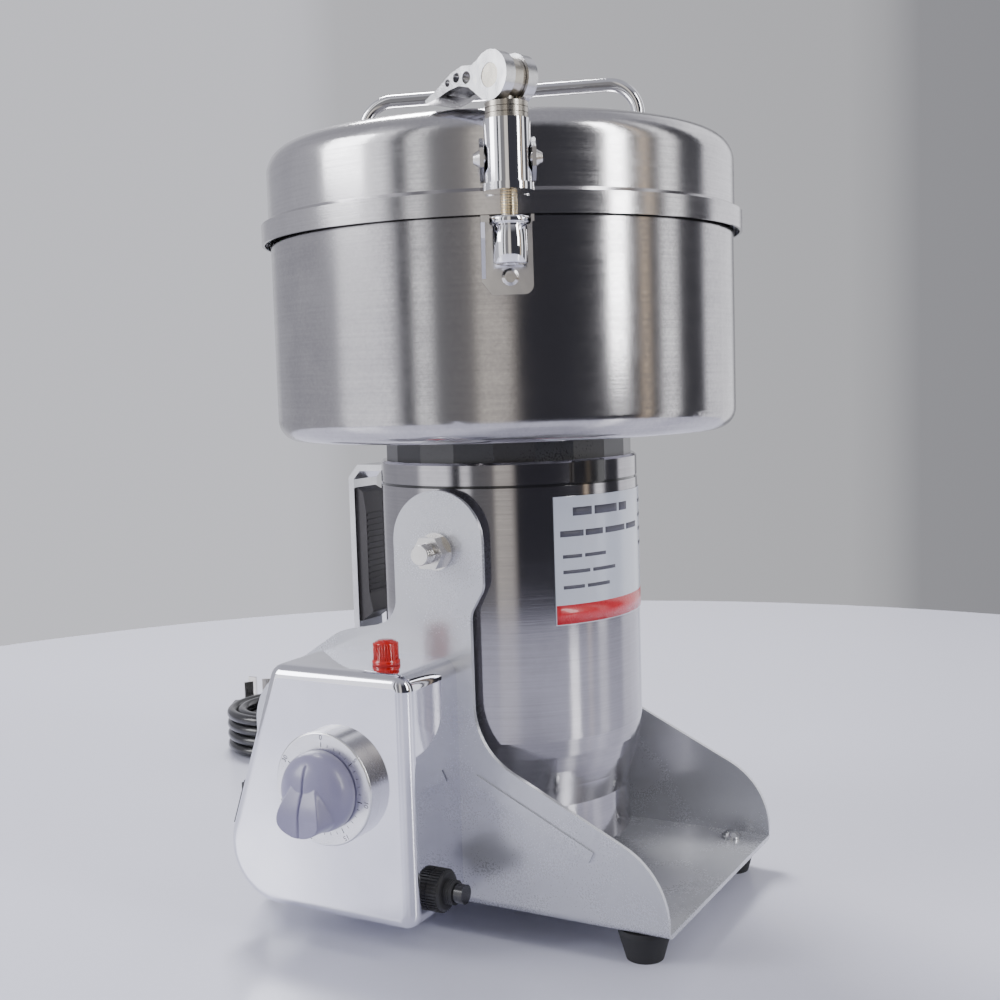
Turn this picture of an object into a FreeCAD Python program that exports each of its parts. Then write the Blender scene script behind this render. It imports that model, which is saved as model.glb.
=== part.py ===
import FreeCAD, Part

import math
import os
import re

import Sketcher

# Swing-type grain grinder with a tilting tube motor.
#
# The pieces are drawn about the motor's axis: Z runs up the motor shaft from the
# table, -Y is the side of the control box and +X is the side the bowl tips to.
# "axis_y" then carries everything back, so the middle of the machine is at x = y = 0.

doc = FreeCAD.newDocument("swing_grinder")
sheet = doc.addObject("Spreadsheet::Sheet", "dims")

SIZES = {
    # whole machine
    "axis_y": 10.645,
    "pivot_z": 165.8,
    # folded base
    "base_front": 101.4,
    "base_half": 65.75,
    "base_low": 13.3,
    "plate": 2.0,
    "ear_half": 21.75,
    "ear_top": 191.5,
    "bead": 0.8,
    "bead_width": 5.0,
    "foot_x": 86.0,
    "foot_y": 54.0,
    "foot_rad": 11.0,
    "foot_tip": 7.8,
    # control box
    "box_front": 105.0,
    "box_right": 7.45,
    "box_low": 14.8,
    "box_top": 120.6,
    "dial_x": -30.3,
    "dial_z": 72.5,
    "dial_rad": 23.8,
    "dial_deep": 7.0,
    "knob_rad": 16.8,
    "knob_tall": 20.0,
    "lamp_x": -14.2,
    "lamp_y": -86.0,
    "lamp_rad": 5.9,
    "lamp_tall": 10.2,
    "reset_y": -88.0,
    "reset_z": 28.0,
    "reset_barrel": 5.0,
    "reset_button_rad": 4.0,
    "reset_nut_rad": 9.0,
    # motor
    "tube_rad": 59.0,
    "tube_wall": 1.2,
    "tube_low": 28.5,
    "tube_top": 191.5,
    "tube_foot_rad": 52.6,
    "band_top": 202.3,
    "seat_top": 212.3,
    "shaft_rad": 6.0,
    "stud_rad": 4.0,
    "stud_end": 80.0,
    # bowl and lid
    "bowl_rad": 104.0,
    "bowl_wall": 1.5,
    "bowl_rim": 306.2,
    "skirt_rad": 107.9,
    "skirt_low": 299.0,
    "skirt_top": 307.6,
    "step_top": 309.4,
    "lid_rad": 104.6,
    "lid_wall": 1.2,
    "lid_top": 342.0,
    "rod_rad": 3.0,
    "grip_top": 365.7,
    "grip_half": 63.3,
    # clamp
    "clamp_rad": 116.0,
    "barrel_rad": 8.65,
    "barrel_low": 308.7,
    "barrel_top": 331.8,
    "trunnion_z": 318.0,
    "cam_z": 347.0,
    "cam_rad": 9.0,
    "cam_half": 8.0,
    "eye_half": 3.1,
    "catch_top": 296.8,
    # hinge
    "hinge_rad": 112.0,
    "hinge_z": 303.0,
    # mains cord
    "cord_rad": 3.4,
    "gland_x": -70.0,
    "gland_z": 30.0,
    "coil_x": -252.4,
    "coil_y": 149.1,
    "coil_outer": 40.8,
    "coil_inner": 27.2,
    "coil_tall": 28.1,
}

FINISHED = []


def write_sheet():
    for row, (name, size) in enumerate(SIZES.items(), start=1):
        sheet.set("A%d" % row, name)
        sheet.set("B%d" % row, str(size))
        sheet.setAlias("B%d" % row, name)
    doc.recompute()


def number(text):
    """Value of a sum of named sizes and plain numbers, such as 'pivot_z - 3.5'."""
    if not isinstance(text, str):
        return float(text)
    total = 0.0
    sign = 1.0
    for word in text.split():
        if word in ("+", "-"):
            sign = 1.0 if word == "+" else -1.0
            continue
        if word[0] == "-" and word[1:] in SIZES:
            total -= sign * float(sheet.get(word[1:]))
        elif word in SIZES:
            total += sign * float(sheet.get(word))
        else:
            total += sign * float(word)
        sign = 1.0
    return total


def bind(thing, prop, text):
    thing.setExpression(prop, re.sub(r"[a-z]\w*", lambda word: "dims." + word.group(), str(text)))


def bind_constraint(sketch, kind, where, text):
    index = sketch.addConstraint(Sketcher.Constraint(kind, *where, number(text)))
    bind(sketch, "Constraints[%d]" % index, text)


def pin_point(sketch, curve, end, corner):
    """Tie one end of a curve to the sketch's origin by sheet sizes."""
    for kind, text, axis in (("DistanceX", corner[0], -2), ("DistanceY", corner[1], -1)):
        if abs(number(text)) < 1e-9:
            sketch.addConstraint(Sketcher.Constraint("PointOnObject", curve, end, axis))
        else:
            bind_constraint(sketch, kind, (-1, 1, curve, end), text)


def draw_outline(sketch, corners):
    spots = [FreeCAD.Vector(number(x), number(y), 0) for x, y in corners]
    for start, finish in zip(spots, spots[1:] + spots[:1]):
        sketch.addGeometry(Part.LineSegment(start, finish), False)
    for index, corner in enumerate(corners):
        sketch.addConstraint(
            Sketcher.Constraint("Coincident", index, 2, (index + 1) % len(corners), 1)
        )
        pin_point(sketch, index, 1, corner)


def draw_circle(sketch, middle, radius):
    spot = FreeCAD.Vector(number(middle[0]), number(middle[1]), 0)
    curve = sketch.addGeometry(
        Part.Circle(spot, FreeCAD.Vector(0, 0, 1), number(radius)), False
    )
    bind_constraint(sketch, "Radius", (curve,), radius)
    if abs(spot.x) < 1e-9 and abs(spot.y) < 1e-9:
        sketch.addConstraint(Sketcher.Constraint("Coincident", curve, 3, -1, 1))
    else:
        pin_point(sketch, curve, 3, middle)


def add_sketch(body, role, offset="0"):
    plane = next(item for item in body.Origin.OriginFeatures if item.Role == role)
    sketch = body.newObject("Sketcher::SketchObject", body.Name + "_sketch")
    sketch.AttachmentSupport = (plane, "")
    sketch.MapMode = "FlatFace"
    bind(sketch, "AttachmentOffset.Base.z", offset)
    return sketch


def turned(name, corners):
    """A piece turned about Z from its half section."""
    body = doc.addObject("PartDesign::Body", name + "_body")
    sketch = add_sketch(body, "XZ_Plane")
    draw_outline(sketch, corners)
    turning = body.newObject("PartDesign::Revolution", name + "_turning")
    turning.Profile = sketch
    turning.ReferenceAxis = (sketch, ["V_Axis"])
    turning.Angle = 360
    doc.recompute()
    return body


def padded(name, role, shapes, length, offset="0", middle=False):
    """A flat piece: outlines and round holes drawn on an origin plane, then padded."""
    body = doc.addObject("PartDesign::Body", name + "_body")
    add_pad(body, role, shapes, length, offset, middle)
    return body


def add_pad(body, role, shapes, length, offset="0", middle=False):
    sketch = add_sketch(body, role, offset)
    for shape in shapes:
        if isinstance(shape, dict):
            draw_circle(sketch, shape["at"], shape["radius"])
        else:
            draw_outline(sketch, shape)
    pad = body.newObject("PartDesign::Pad", body.Name + "_pad")
    pad.Profile = sketch
    bind(pad, "Length", length)
    pad.SideType = "Symmetric" if middle else "One side"
    doc.recompute()
    return pad


def add_pocket(body, role, shapes, length, offset="0", middle=False, reverse=False):
    before = body.Shape.Volume
    sketch = add_sketch(body, role, offset)
    for shape in shapes:
        if isinstance(shape, dict):
            draw_circle(sketch, shape["at"], shape["radius"])
        else:
            draw_outline(sketch, shape)
    pocket = body.newObject("PartDesign::Pocket", body.Name + "_pocket")
    pocket.Profile = sketch
    bind(pocket, "Length", length)
    pocket.SideType = "Symmetric" if middle else "One side"
    pocket.Reversed = reverse
    doc.recompute()
    if body.Shape.Volume > before - 1e-6:
        raise RuntimeError(body.Name + ": a pocket cuts nothing")
    return pocket


def round_edges(body, spots, radius):
    """Fillet the edges that pass through the given points."""
    base = body.Tip
    names = []
    for spot in spots:
        vertex = Part.Vertex(FreeCAD.Vector(*[number(value) for value in spot]))
        edges = base.Shape.Edges
        nearest = min(range(len(edges)), key=lambda i: edges[i].distToShape(vertex)[0])
        if edges[nearest].distToShape(vertex)[0] > 0.05:
            raise RuntimeError("%s: no edge at %s" % (body.Name, spot))
        name = "Edge%d" % (nearest + 1)
        if name not in names:
            names.append(name)
    fillet = body.newObject("PartDesign::Fillet", body.Name + "_round")
    fillet.Base = (base, names)
    bind(fillet, "Radius", radius)
    doc.recompute()
    return fillet


def rect(left, low, right, high):
    return [(left, low), (right, low), (right, high), (left, high)]


def hole(x, y, radius):
    return {"at": (x, y), "radius": radius}


DIRECTIONS = {
    "+X": FreeCAD.Rotation(FreeCAD.Vector(0, 0, 1), FreeCAD.Vector(1, 0, 0)),
    "-X": FreeCAD.Rotation(FreeCAD.Vector(0, 0, 1), FreeCAD.Vector(-1, 0, 0)),
    "+Y": FreeCAD.Rotation(FreeCAD.Vector(0, 0, 1), FreeCAD.Vector(0, 1, 0)),
    "-Y": FreeCAD.Rotation(FreeCAD.Vector(0, 0, 1), FreeCAD.Vector(0, -1, 0)),
    "+Z": FreeCAD.Rotation(),
}


def put(thing, x, y, z, rotation=None):
    thing.Placement = FreeCAD.Placement(
        FreeCAD.Vector(number(x), number(y), number(z)), rotation or FreeCAD.Rotation()
    )
    for letter, text in (("x", x), ("y", y), ("z", z)):
        bind(thing, "Placement.Base." + letter, text)
    return thing


def cylinder(name, radius, length, x, y, z, way="+Z"):
    piece = doc.addObject("Part::Cylinder", name)
    bind(piece, "Radius", radius)
    bind(piece, "Height", length)
    return put(piece, x, y, z, DIRECTIONS[way])


def cone(name, low_radius, high_radius, length, x, y, z, way="+Z"):
    piece = doc.addObject("Part::Cone", name)
    bind(piece, "Radius1", low_radius)
    bind(piece, "Radius2", high_radius)
    bind(piece, "Height", length)
    return put(piece, x, y, z, DIRECTIONS[way])


def block(name, long, wide, tall, x, y, z, rotation=None):
    """A box from its low corner."""
    piece = doc.addObject("Part::Box", name)
    bind(piece, "Length", long)
    bind(piece, "Width", wide)
    bind(piece, "Height", tall)
    return put(piece, x, y, z, rotation)


def cut(name, base, tools):
    tool = tools[0]
    if len(tools) > 1:
        tool = doc.addObject("Part::MultiFuse", name + "_tools")
        tool.Shapes = tools
    piece = doc.addObject("Part::Cut", name)
    piece.Base = base
    piece.Tool = tool
    doc.recompute()
    if piece.Shape.Volume > base.Shape.Volume - 1e-6:
        raise RuntimeError(name + ": a cut removes nothing")
    return piece


def fuse(name, pieces):
    piece = doc.addObject("Part::MultiFuse", name)
    piece.Shapes = pieces
    doc.recompute()
    return piece


def common(name, first, second):
    piece = doc.addObject("Part::Common", name)
    piece.Base = first
    piece.Tool = second
    doc.recompute()
    return piece


def group(name, pieces):
    piece = doc.addObject("Part::Compound", name)
    piece.Links = pieces
    doc.recompute()
    return piece


def repeated(name, piece, placements):
    """Separate copies of one piece at several places, kept as one node."""
    copies = []
    for placement in placements:
        copy = piece.Shape.copy()
        copy.Placement = placement.multiply(copy.Placement)
        copies.append(copy)
    feature = doc.addObject("Part::Feature", name)
    feature.Shape = Part.makeCompound(copies)
    return feature


def spot(x, y, z, angle=0.0):
    return FreeCAD.Placement(
        FreeCAD.Vector(x, y, z), FreeCAD.Rotation(FreeCAD.Vector(0, 0, 1), angle)
    )


def finish(label, piece, x="0", y="0", z="0", turn=0.0, rotation=None):
    """Name a sub-part, and carry it from the motor's axis to the machine's frame."""
    piece.Label = label
    angle = rotation or FreeCAD.Rotation(FreeCAD.Vector(0, 0, 1), turn)
    put(piece, x, "%s + axis_y" % y, z, angle)
    FINISHED.append(piece)
    return piece


# ---------------------------------------------------------------- base


def make_base():
    """One folded sheet: a bottom plate and two side plates with pivot ears."""
    front = "base_front"
    outline = [
        (front, "base_low"),
        (front, "39.9"),
        ("15.2", "82.1"),
        ("15.2", "139.5"),
        ("ear_half", "150.5"),
        ("ear_half", "ear_top"),
        ("-ear_half", "ear_top"),
        ("-ear_half", "134.5"),
        ("-52", "128.6"),
        ("-base_front", "97"),
        ("-base_front", "base_low"),
    ]
    body = padded("base_channel", "XZ_Plane", [outline], "base_half + base_half", middle=True)
    side = "base_half"
    round_edges(body, [("base_front", "0", "39.9")], "34")
    round_edges(body, [("15.2", "0", "82.1")], "30")
    round_edges(body, [("15.2", "0", "139.5"), ("ear_half", "0", "150.5")], "8")
    round_edges(body, [("ear_half", "0", "ear_top"), ("-ear_half", "0", "ear_top")], "21.7")
    round_edges(body, [("-ear_half", "0", "134.5")], "12")
    round_edges(body, [("-52", "0", "128.6"), ("-base_front", "0", "97")], "25")
    round_edges(body, [("0", side, "base_low"), ("0", "-base_half", "base_low")], "4")
    inside = rect("plate - base_half", "base_low + plate", "base_half - plate", "ear_top + 10")
    add_pocket(body, "YZ_Plane", [inside], "base_front + base_front + 10", middle=True)
    beads = [
        bead_bar("near_bead", (14.8, 69.0), (68.5, 43.0), -1),
        bead_bar("far_bead", (14.8, 69.0), (68.5, 43.0), 1),
    ]
    with_beads = fuse("base_with_beads", [body] + beads)
    holes = [cylinder("pivot_hole", "stud_rad + 0.05", "200", "0", "-100", "pivot_z", "+Y")]
    for index, (x, y) in enumerate(foot_places()):
        holes.append(cylinder("foot_hole_%d" % index, "2.05", "10", x, y, "base_low - 4"))
    holes.append(
        cylinder("cord_hole", "5.05", "8", "gland_x", "-base_half - 3", "gland_z", "+Y")
    )
    for index, (x, z) in enumerate(BOX_SCREWS):
        name = "box_screw_hole_%d" % index
        holes.append(cylinder(name, "2.05", "8", x, "-base_half - 3", z, "+Y"))
    finish("base_channel", cut("base_cut", with_beads, holes))


def bead_bar(name, start, end, side):
    """A stiffening bead pressed outwards along one side plate."""
    length = math.hypot(end[0] - start[0], end[1] - start[1])
    angle = math.degrees(math.atan2(end[1] - start[1], end[0] - start[0]))
    half = number("bead_width") / 2
    bar = doc.addObject("Part::Box", name)
    bar.Length = length
    bind(bar, "Width", "bead + plate - 0.5")
    bind(bar, "Height", "bead_width")
    low_y = number("base_half") - number("plate") + 0.5
    if side < 0:
        low_y = -number("base_half") - number("bead")
    turn = FreeCAD.Rotation(FreeCAD.Vector(0, 1, 0), -angle)
    lift = turn.multVec(FreeCAD.Vector(0, 0, -half))
    bar.Placement = FreeCAD.Placement(
        FreeCAD.Vector(start[0] + lift.x, low_y, start[1] + lift.z), turn
    )
    return bar


BOX_SCREWS = [("-6", "108"), ("-50", "108"), ("-4", "22")]


def foot_places():
    return [
        ("foot_x", "foot_y"),
        ("foot_x", "-foot_y"),
        ("-foot_x", "foot_y"),
        ("-foot_x", "-foot_y"),
    ]


def foot_spots():
    return [spot(number(x), number(y), 0) for x, y in foot_places()]


def make_feet():
    """Tapered rubber feet with a recess for the screw's head."""
    foot = turned(
        "rubber_foot",
        [
            ("2.1", "6"),
            ("4.5", "6"),
            ("4.5", "0"),
            ("foot_tip", "0"),
            ("foot_rad", "base_low - 2"),
            ("foot_rad", "base_low"),
            ("2.1", "base_low"),
        ],
    )
    finish("rubber_feet", repeated("feet", foot, foot_spots()))


def make_base_screws():
    """Foot screws with their cap nuts, and the screws that hold the control box."""
    screw = turned(
        "foot_screw",
        [
            ("0", "3.6"),
            ("4", "3.6"),
            ("4", "6"),
            ("2", "6"),
            ("2", "base_low + plate + 2"),
            ("0", "base_low + plate + 2"),
        ],
    )
    nut = turned(
        "foot_nut",
        [
            ("2", "base_low + plate"),
            ("4.6", "base_low + plate"),
            ("4.6", "base_low + plate + 1.4"),
            ("2.6", "base_low + plate + 3"),
            ("0", "base_low + plate + 3.3"),
            ("0", "base_low + plate + 2"),
            ("2", "base_low + plate + 2"),
        ],
    )
    box_screws = []
    for index, (x, z) in enumerate(BOX_SCREWS):
        head = cylinder("box_head_%d" % index, "3.5", "2.2", x, "plate - base_half", z, "+Y")
        shank = cylinder("box_shank_%d" % index, "2", "9", x, "-base_half - 5", z, "+Y")
        shank.Height = 7.0
        box_screws.append(fuse("box_screw_%d" % index, [head, shank]))
    screws = repeated("foot_screws", screw, foot_spots())
    nuts = repeated("foot_nuts", nut, foot_spots())
    finish("base_screws", group("base_screw_group", [screws, nuts] + box_screws))


# ---------------------------------------------------------------- control box


def box_outline(inset):
    """The box's front: its left side leans in towards the top."""
    right = "box_right - %s" % inset
    low = "box_low + %s" % inset
    high = "box_top - %s" % inset
    lean = inset * 1.05
    return [
        (right, low),
        (right, high),
        ("%.2f" % (-61.0 + lean * 0.95), high),
        ("%.2f" % (-98.5 + lean * 1.3), low),
    ]


def make_control_box():
    """A pressed shell, open towards the side plate that it is screwed to."""
    depth = "box_front - base_half"
    shell = padded("control_box", "XZ_Plane", [box_outline(0)], depth, "base_half")
    middle_y = "-85"
    round_edges(shell, [("-98.5", middle_y, "box_low")], "25")
    round_edges(shell, [("-61", middle_y, "box_top")], "7")
    round_edges(
        shell,
        [("box_right", middle_y, "box_low"), ("box_right", middle_y, "box_top")],
        "7",
    )
    round_edges(shell, [("-20", "-box_front", "box_top")], "5.4")
    hollow = padded("box_hollow", "XZ_Plane", [box_outline(1.2)], "38.05", "base_half")
    round_edges(hollow, [("-96.86", middle_y, "box_low + 1.2")], "23.8")
    round_edges(hollow, [("-59.80", middle_y, "box_top - 1.2")], "5.8")
    round_edges(
        hollow,
        [
            ("box_right - 1.2", middle_y, "box_low + 1.2"),
            ("box_right - 1.2", middle_y, "box_top - 1.2"),
        ],
        "5.8",
    )
    round_edges(hollow, [("-20", "-box_front + 1.2", "box_top - 1.2")], "4.2")
    tools = [
        hollow,
        cylinder("timer_hole", "5", "10", "dial_x", "-box_front - 4", "dial_z", "+Y"),
        cylinder("lamp_hole", "4.55", "10", "lamp_x", "lamp_y", "box_top - 6"),
        cylinder(
            "reset_hole", "reset_barrel + 0.05", "10", "box_right - 5", "reset_y", "reset_z", "+X"
        ),
        on_slant("switch_hole", block("switch_hole_box", "18.1", "12.1", "10", *SWITCH_LOW_HOLE)),
    ]
    lips = []
    for index, (x, z) in enumerate(BOX_SCREWS):
        low_x, low_y, low_z = "%s - 7" % x, "-base_half - 1.2", "%s - 7" % z
        lip = block("lip_%d" % index, "14", "1.2", "14", low_x, low_y, low_z)
        ring = cylinder("lip_hole_%d" % index, "2.05", "3", x, "-base_half - 2", z, "+Y")
        lips.append(cut("drilled_lip_%d" % index, lip, [ring]))
    outer = padded("lip_limit", "XZ_Plane", [box_outline(0.4)], "4", "base_half")
    round_edges(outer, [("-97.95", "-67", "box_low + 0.4")], "24.6")
    kept_lips = common("kept_lips", fuse("all_lips", lips), outer)
    shell_cut = cut("box_shell_cut", shell, tools)
    finish("control_box", fuse("box_with_lips", [shell_cut, kept_lips]))


# The slanted wall's own frame: x up along the wall, y across it, z straight out of it.
SLANT = FreeCAD.Rotation(
    FreeCAD.Vector(0.334, 0, 0.9425),
    FreeCAD.Vector(0, 1, 0),
    FreeCAD.Vector(-0.9425, 0, 0.334),
    "XYZ",
)
SWITCH_SPOT = (-83.91, -91.5, 56.0)
SWITCH_LOW_HOLE = ("-9.05", "-6.05", "-5")


def on_slant(name, piece):
    """Stand a piece that was made at the origin on the slanted wall."""
    holder = doc.addObject("Part::Compound", name)
    holder.Links = [piece]
    holder.Placement = FreeCAD.Placement(FreeCAD.Vector(*SWITCH_SPOT), SLANT)
    doc.recompute()
    return holder


def make_switch():
    """A rocker switch that snaps into the slanted wall."""
    bezel = block("switch_bezel", "21", "15", "2", "-10.5", "-7.5", "0")
    case = block("switch_case", "18", "12", "18", "-9", "-6", "-18")
    whole = fuse("switch_solid", [bezel, case])
    well = block("switch_well", "17", "11", "14", "-8.5", "-5.5", "-8")
    finish_on_slant("switch_housing", cut("switch_hollow", whole, [well]))
    # The rocker lies pressed at its lower end; it tips about Y through its middle.
    rocker = padded(
        "switch_rocker",
        "XZ_Plane",
        [
            [
                ("-8", "0.6"),
                ("0", "1.9"),
                ("7.3", "4.6"),
                ("7.6", "3.9"),
                ("6.6", "-1.5"),
                ("0", "-4"),
                ("-7.2", "-2.4"),
            ]
        ],
        "10.6",
        middle=True,
    )
    round_edges(rocker, [("7.3", "0", "4.6"), ("7.6", "0", "3.9")], "0.3")
    finish_on_slant("switch_rocker", rocker)


def finish_on_slant(label, piece):
    piece.Label = label
    x, y, z = SWITCH_SPOT
    put(piece, str(x), "%s + axis_y" % y, str(z), SLANT)
    FINISHED.append(piece)


def make_timer():
    """Dial ring, knob with its shaft, and the clockwork behind the front."""
    ring = padded(
        "timer_dial",
        "XZ_Plane",
        [hole("0", "0", "dial_rad"), hole("0", "0", "5")],
        "dial_deep",
        "box_front",
    )
    round_edges(ring, [("0", "-box_front - dial_deep", "dial_rad")], "0.8")
    finish("timer_dial", ring, x="dial_x", z="dial_z")
    skirt_y = "-box_front - dial_deep - 0.4"
    skirt = cylinder("knob_skirt", "knob_rad", "4", "0", skirt_y, "0", "-Y")
    grip = padded(
        "knob_grip",
        "XZ_Plane",
        [[
            ("-3", "15.6"),
            ("3", "15.6"),
            ("8.4", "2"),
            ("8.4", "-8"),
            ("5.5", "-14.8"),
            ("-5.5", "-14.8"),
            ("-8.4", "-8"),
            ("-8.4", "2"),
        ]],
        "knob_tall - 2",
        "box_front + dial_deep + 2.4",
    )
    shaft_y = "-box_front - dial_deep - 2"
    shaft = cylinder("knob_shaft", "3", "24", "0", shaft_y, "0", "+Y")
    finish("timer_knob", fuse("knob_solid", [skirt, grip, shaft]), x="dial_x", z="dial_z")
    case = cylinder("timer_case", "21", "24", "0", "-box_front + 1.2", "0", "+Y")
    bore = cylinder("timer_bore", "3.05", "16", "0", "-box_front", "0", "+Y")
    finish("timer_body", cut("timer_cut", case, [bore]), x="dial_x", z="dial_z")


def make_lamp():
    """A ribbed indicator lamp whose body passes through the box's top."""
    lens = turned(
        "lamp",
        [
            ("0", "box_top - 18"),
            ("4.5", "box_top - 18"),
            ("4.5", "box_top"),
            ("lamp_rad", "box_top"),
            ("lamp_rad", "box_top + 2.2"),
            ("lamp_rad - 0.7", "box_top + 2.8"),
            ("lamp_rad - 1.3", "box_top + lamp_tall - 1"),
            ("lamp_rad - 2.2", "box_top + lamp_tall"),
            ("0", "box_top + lamp_tall"),
        ],
    )
    finish("indicator_lamp", lens, x="lamp_x", y="lamp_y")


def make_overload():
    """Push-to-reset overload protector in the right wall."""
    wall = "box_right - 1.2"
    case = block("overload_case", "28", "14", "22", "box_right - 29.2", "-7", "-6")
    barrel = cylinder("overload_barrel", "reset_barrel", "11.2", wall, "0", "0", "+X")
    bore = cylinder("overload_bore", "reset_button_rad + 0.08", "20", "box_right - 6", "0", "0", "+X")
    body = cut("overload_cut", fuse("overload_solid", [case, barrel]), [bore])
    finish("overload_body", body, y="reset_y", z="reset_z")
    nut = cylinder("overload_nut_blank", "reset_nut_rad", "6", "box_right", "0", "0", "+X")
    thread = cylinder("overload_thread", "reset_barrel", "8", "box_right - 1", "0", "0", "+X")
    finish("overload_nut", cut("overload_nut_cut", nut, [thread]), y="reset_y", z="reset_z")
    button = cylinder(
        "reset_button_blank", "reset_button_rad", "17.5", "box_right - 3", "0", "0", "+X"
    )
    finish("reset_button", group("reset_button_group", [button]), y="reset_y", z="reset_z")


# ---------------------------------------------------------------- motor


def make_trunnions():
    """Bosses welded to the tube, each with a stud that turns in the base's ear."""
    pieces = []
    for side, way in ((1, "+Y"), (-1, "-Y")):
        mark = "" if side > 0 else "-"
        boss = cylinder("boss_%s" % (side > 0), "9", "8.5", "0", mark + "55", "0", way)
        stud = cylinder("stud_%s" % (side > 0), "stud_rad", "stud_end - 55", "0", mark + "55", "0", way)
        pieces.append(fuse("trunnion_%s" % (side > 0), [boss, stud]))
    tube = cylinder("tube_limit", "tube_rad", "40", "0", "0", "-20")
    trunnions = [cut("trunnion_cut_%d" % i, piece, [tube]) for i, piece in enumerate(pieces)]
    finish("pivot_trunnions", group("trunnion_group", trunnions), z="pivot_z")
    washer = padded("washer", "XY_Plane", [hole("0", "0", "8"), hole("0", "0", "stud_rad")], "1.5")
    nut = padded("pivot_nut", "XY_Plane", [hexagon(7.5), hole("0", "0", "stud_rad")], "6.5")
    both = []
    for way in ("+Y", "-Y"):
        turn = DIRECTIONS[way]
        for piece, out in ((washer, 65.8), (nut, 67.3)):
            both.append((piece, FreeCAD.Placement(turn.multVec(FreeCAD.Vector(0, 0, out)), turn)))
    washers = repeated("washers", washer, [place for piece, place in both if piece is washer])
    nuts = repeated("nuts", nut, [place for piece, place in both if piece is nut])
    finish("pivot_nuts", group("pivot_nut_group", [washers, nuts]), z="pivot_z")


def hexagon(radius, sides=6, start=0.0):
    corners = []
    for index in range(sides):
        angle = math.radians(start + 360.0 * index / sides)
        corners.append(("%.4f" % (radius * math.cos(angle)), "%.4f" % (radius * math.sin(angle))))
    return corners


def make_motor_tube():
    """Drawn stainless tube that narrows towards its foot."""
    tube = turned(
        "motor_tube",
        [
            ("tube_foot_rad - 5", "tube_low"),
            ("tube_foot_rad - 1.2", "tube_low"),
            ("tube_foot_rad", "tube_low + 2"),
            ("tube_foot_rad", "51"),
            ("54.8", "60.3"),
            ("56.7", "67.5"),
            ("58.2", "74.6"),
            ("tube_rad", "82"),
            ("tube_rad", "tube_top"),
            ("tube_rad - tube_wall", "tube_top"),
            ("tube_rad - tube_wall", "82"),
            ("57", "74.8"),
            ("55.5", "67.8"),
            ("53.6", "60.7"),
            ("tube_foot_rad - tube_wall", "51.2"),
            ("tube_foot_rad - tube_wall", "tube_low + 1.2"),
            ("tube_foot_rad - 5", "tube_low + 1.2"),
        ],
    )
    finish("motor_tube", tube)
    cap = turned(
        "motor_cap",
        [
            ("18", "tube_low + 1.2"),
            ("tube_foot_rad - 1.3", "tube_low + 1.2"),
            ("tube_foot_rad - 1.3", "tube_low + 4"),
            ("18", "tube_low + 4"),
        ],
    )
    slots = []
    for index in range(12):
        slot = block("vent_%d" % index, "22", "5", "10", "22", "-2.5", "tube_low - 2")
        slots.append(slot)
        angle = math.radians(30 * index)
        turn = FreeCAD.Rotation(FreeCAD.Vector(0, 0, 1), 30 * index)
        x = 22 * math.cos(angle) + 2.5 * math.sin(angle)
        y = 22 * math.sin(angle) - 2.5 * math.cos(angle)
        put(slot, "%.4f" % x, "%.4f" % y, "tube_low - 2", turn)
    finish("motor_bottom_cap", cut("cap_cut", cap, slots))


def make_motor_inside():
    """Series motor: laminated field, wound armature, brushes, fan and bearings."""
    stator = padded("stator", "XY_Plane", [hole("0", "0", "50"), hole("0", "0", "31.5")], "45", "90")
    finish("stator_core", stator)
    coil = padded("field", "XY_Plane", [hole("0", "0", "47"), hole("0", "0", "34")], "11", "78.8")
    coils = repeated("field_pair", coil, [spot(0, 0, 0), spot(0, 0, 56.4)])
    finish("field_windings", coils)
    upper = bracket("upper", "57.75", "172")
    lower = bracket("lower", "53.2", "62")
    finish("motor_brackets", group("bracket_group", [upper, lower]))
    bearing = turned(
        "bearing",
        [
            ("shaft_rad + 0.03", "0"),
            ("14", "0"),
            ("14", "8"),
            ("shaft_rad + 0.03", "8"),
        ],
    )
    finish("motor_bearings", repeated("bearings", bearing, [spot(0, 0, 62), spot(0, 0, 172)]))
    core = padded(
        "rotor", "XY_Plane", [hole("0", "0", "30.5"), hole("0", "0", "shaft_rad")], "45", "90"
    )
    ends = padded(
        "rotor_ends", "XY_Plane", [hole("0", "0", "25"), hole("0", "0", "shaft_rad")], "59", "83"
    )
    finish("rotor_core", fuse("rotor_solid", [core, ends]))
    commutator = padded(
        "commutator", "XY_Plane", [hole("0", "0", "13"), hole("0", "0", "shaft_rad")], "10", "72.5"
    )
    finish("commutator", commutator)
    holders = []
    for name, brush_x, shell_x, slot_x in (
        ("right", "13.1", "20", "12"),
        ("left", "-33.1", "-33.3", "-42"),
    ):
        holders.append(block("brush_" + name, "20", "8", "6", brush_x, "-4", "74.5"))
        shell = block("holder_" + name, "13.3", "12", "10", shell_x, "-6", "72.5")
        slot = block("slot_" + name, "30", "8", "6", slot_x, "-4", "74.5")
        holders.append(cut("holder_cut_" + name, shell, [slot]))
    finish("brush_gear", group("brush_group", holders))
    make_fan()
    shaft = turned(
        "shaft",
        [
            ("0", "58"),
            ("shaft_rad", "58"),
            ("shaft_rad", "266"),
            ("5", "267"),
            ("5", "272"),
            ("0", "272"),
        ],
    )
    finish("motor_shaft", shaft)


def bracket(name, radius, low):
    """An end bracket: a disc with a bearing seat, and air slots round it."""
    disc = padded(
        name + "_disc",
        "XY_Plane",
        [hole("0", "0", radius), hole("0", "0", "14")],
        "8",
        low,
    )
    slots = []
    for index in range(8):
        angle = math.radians(45 * index + 22.5)
        x = "%.3f" % (33 * math.cos(angle))
        y = "%.3f" % (33 * math.sin(angle))
        slots.append(cylinder("%s_air_%d" % (name, index), "8", "20", x, y, low + " - 4"))
    return cut(name + "_bracket", disc, slots)


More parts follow.
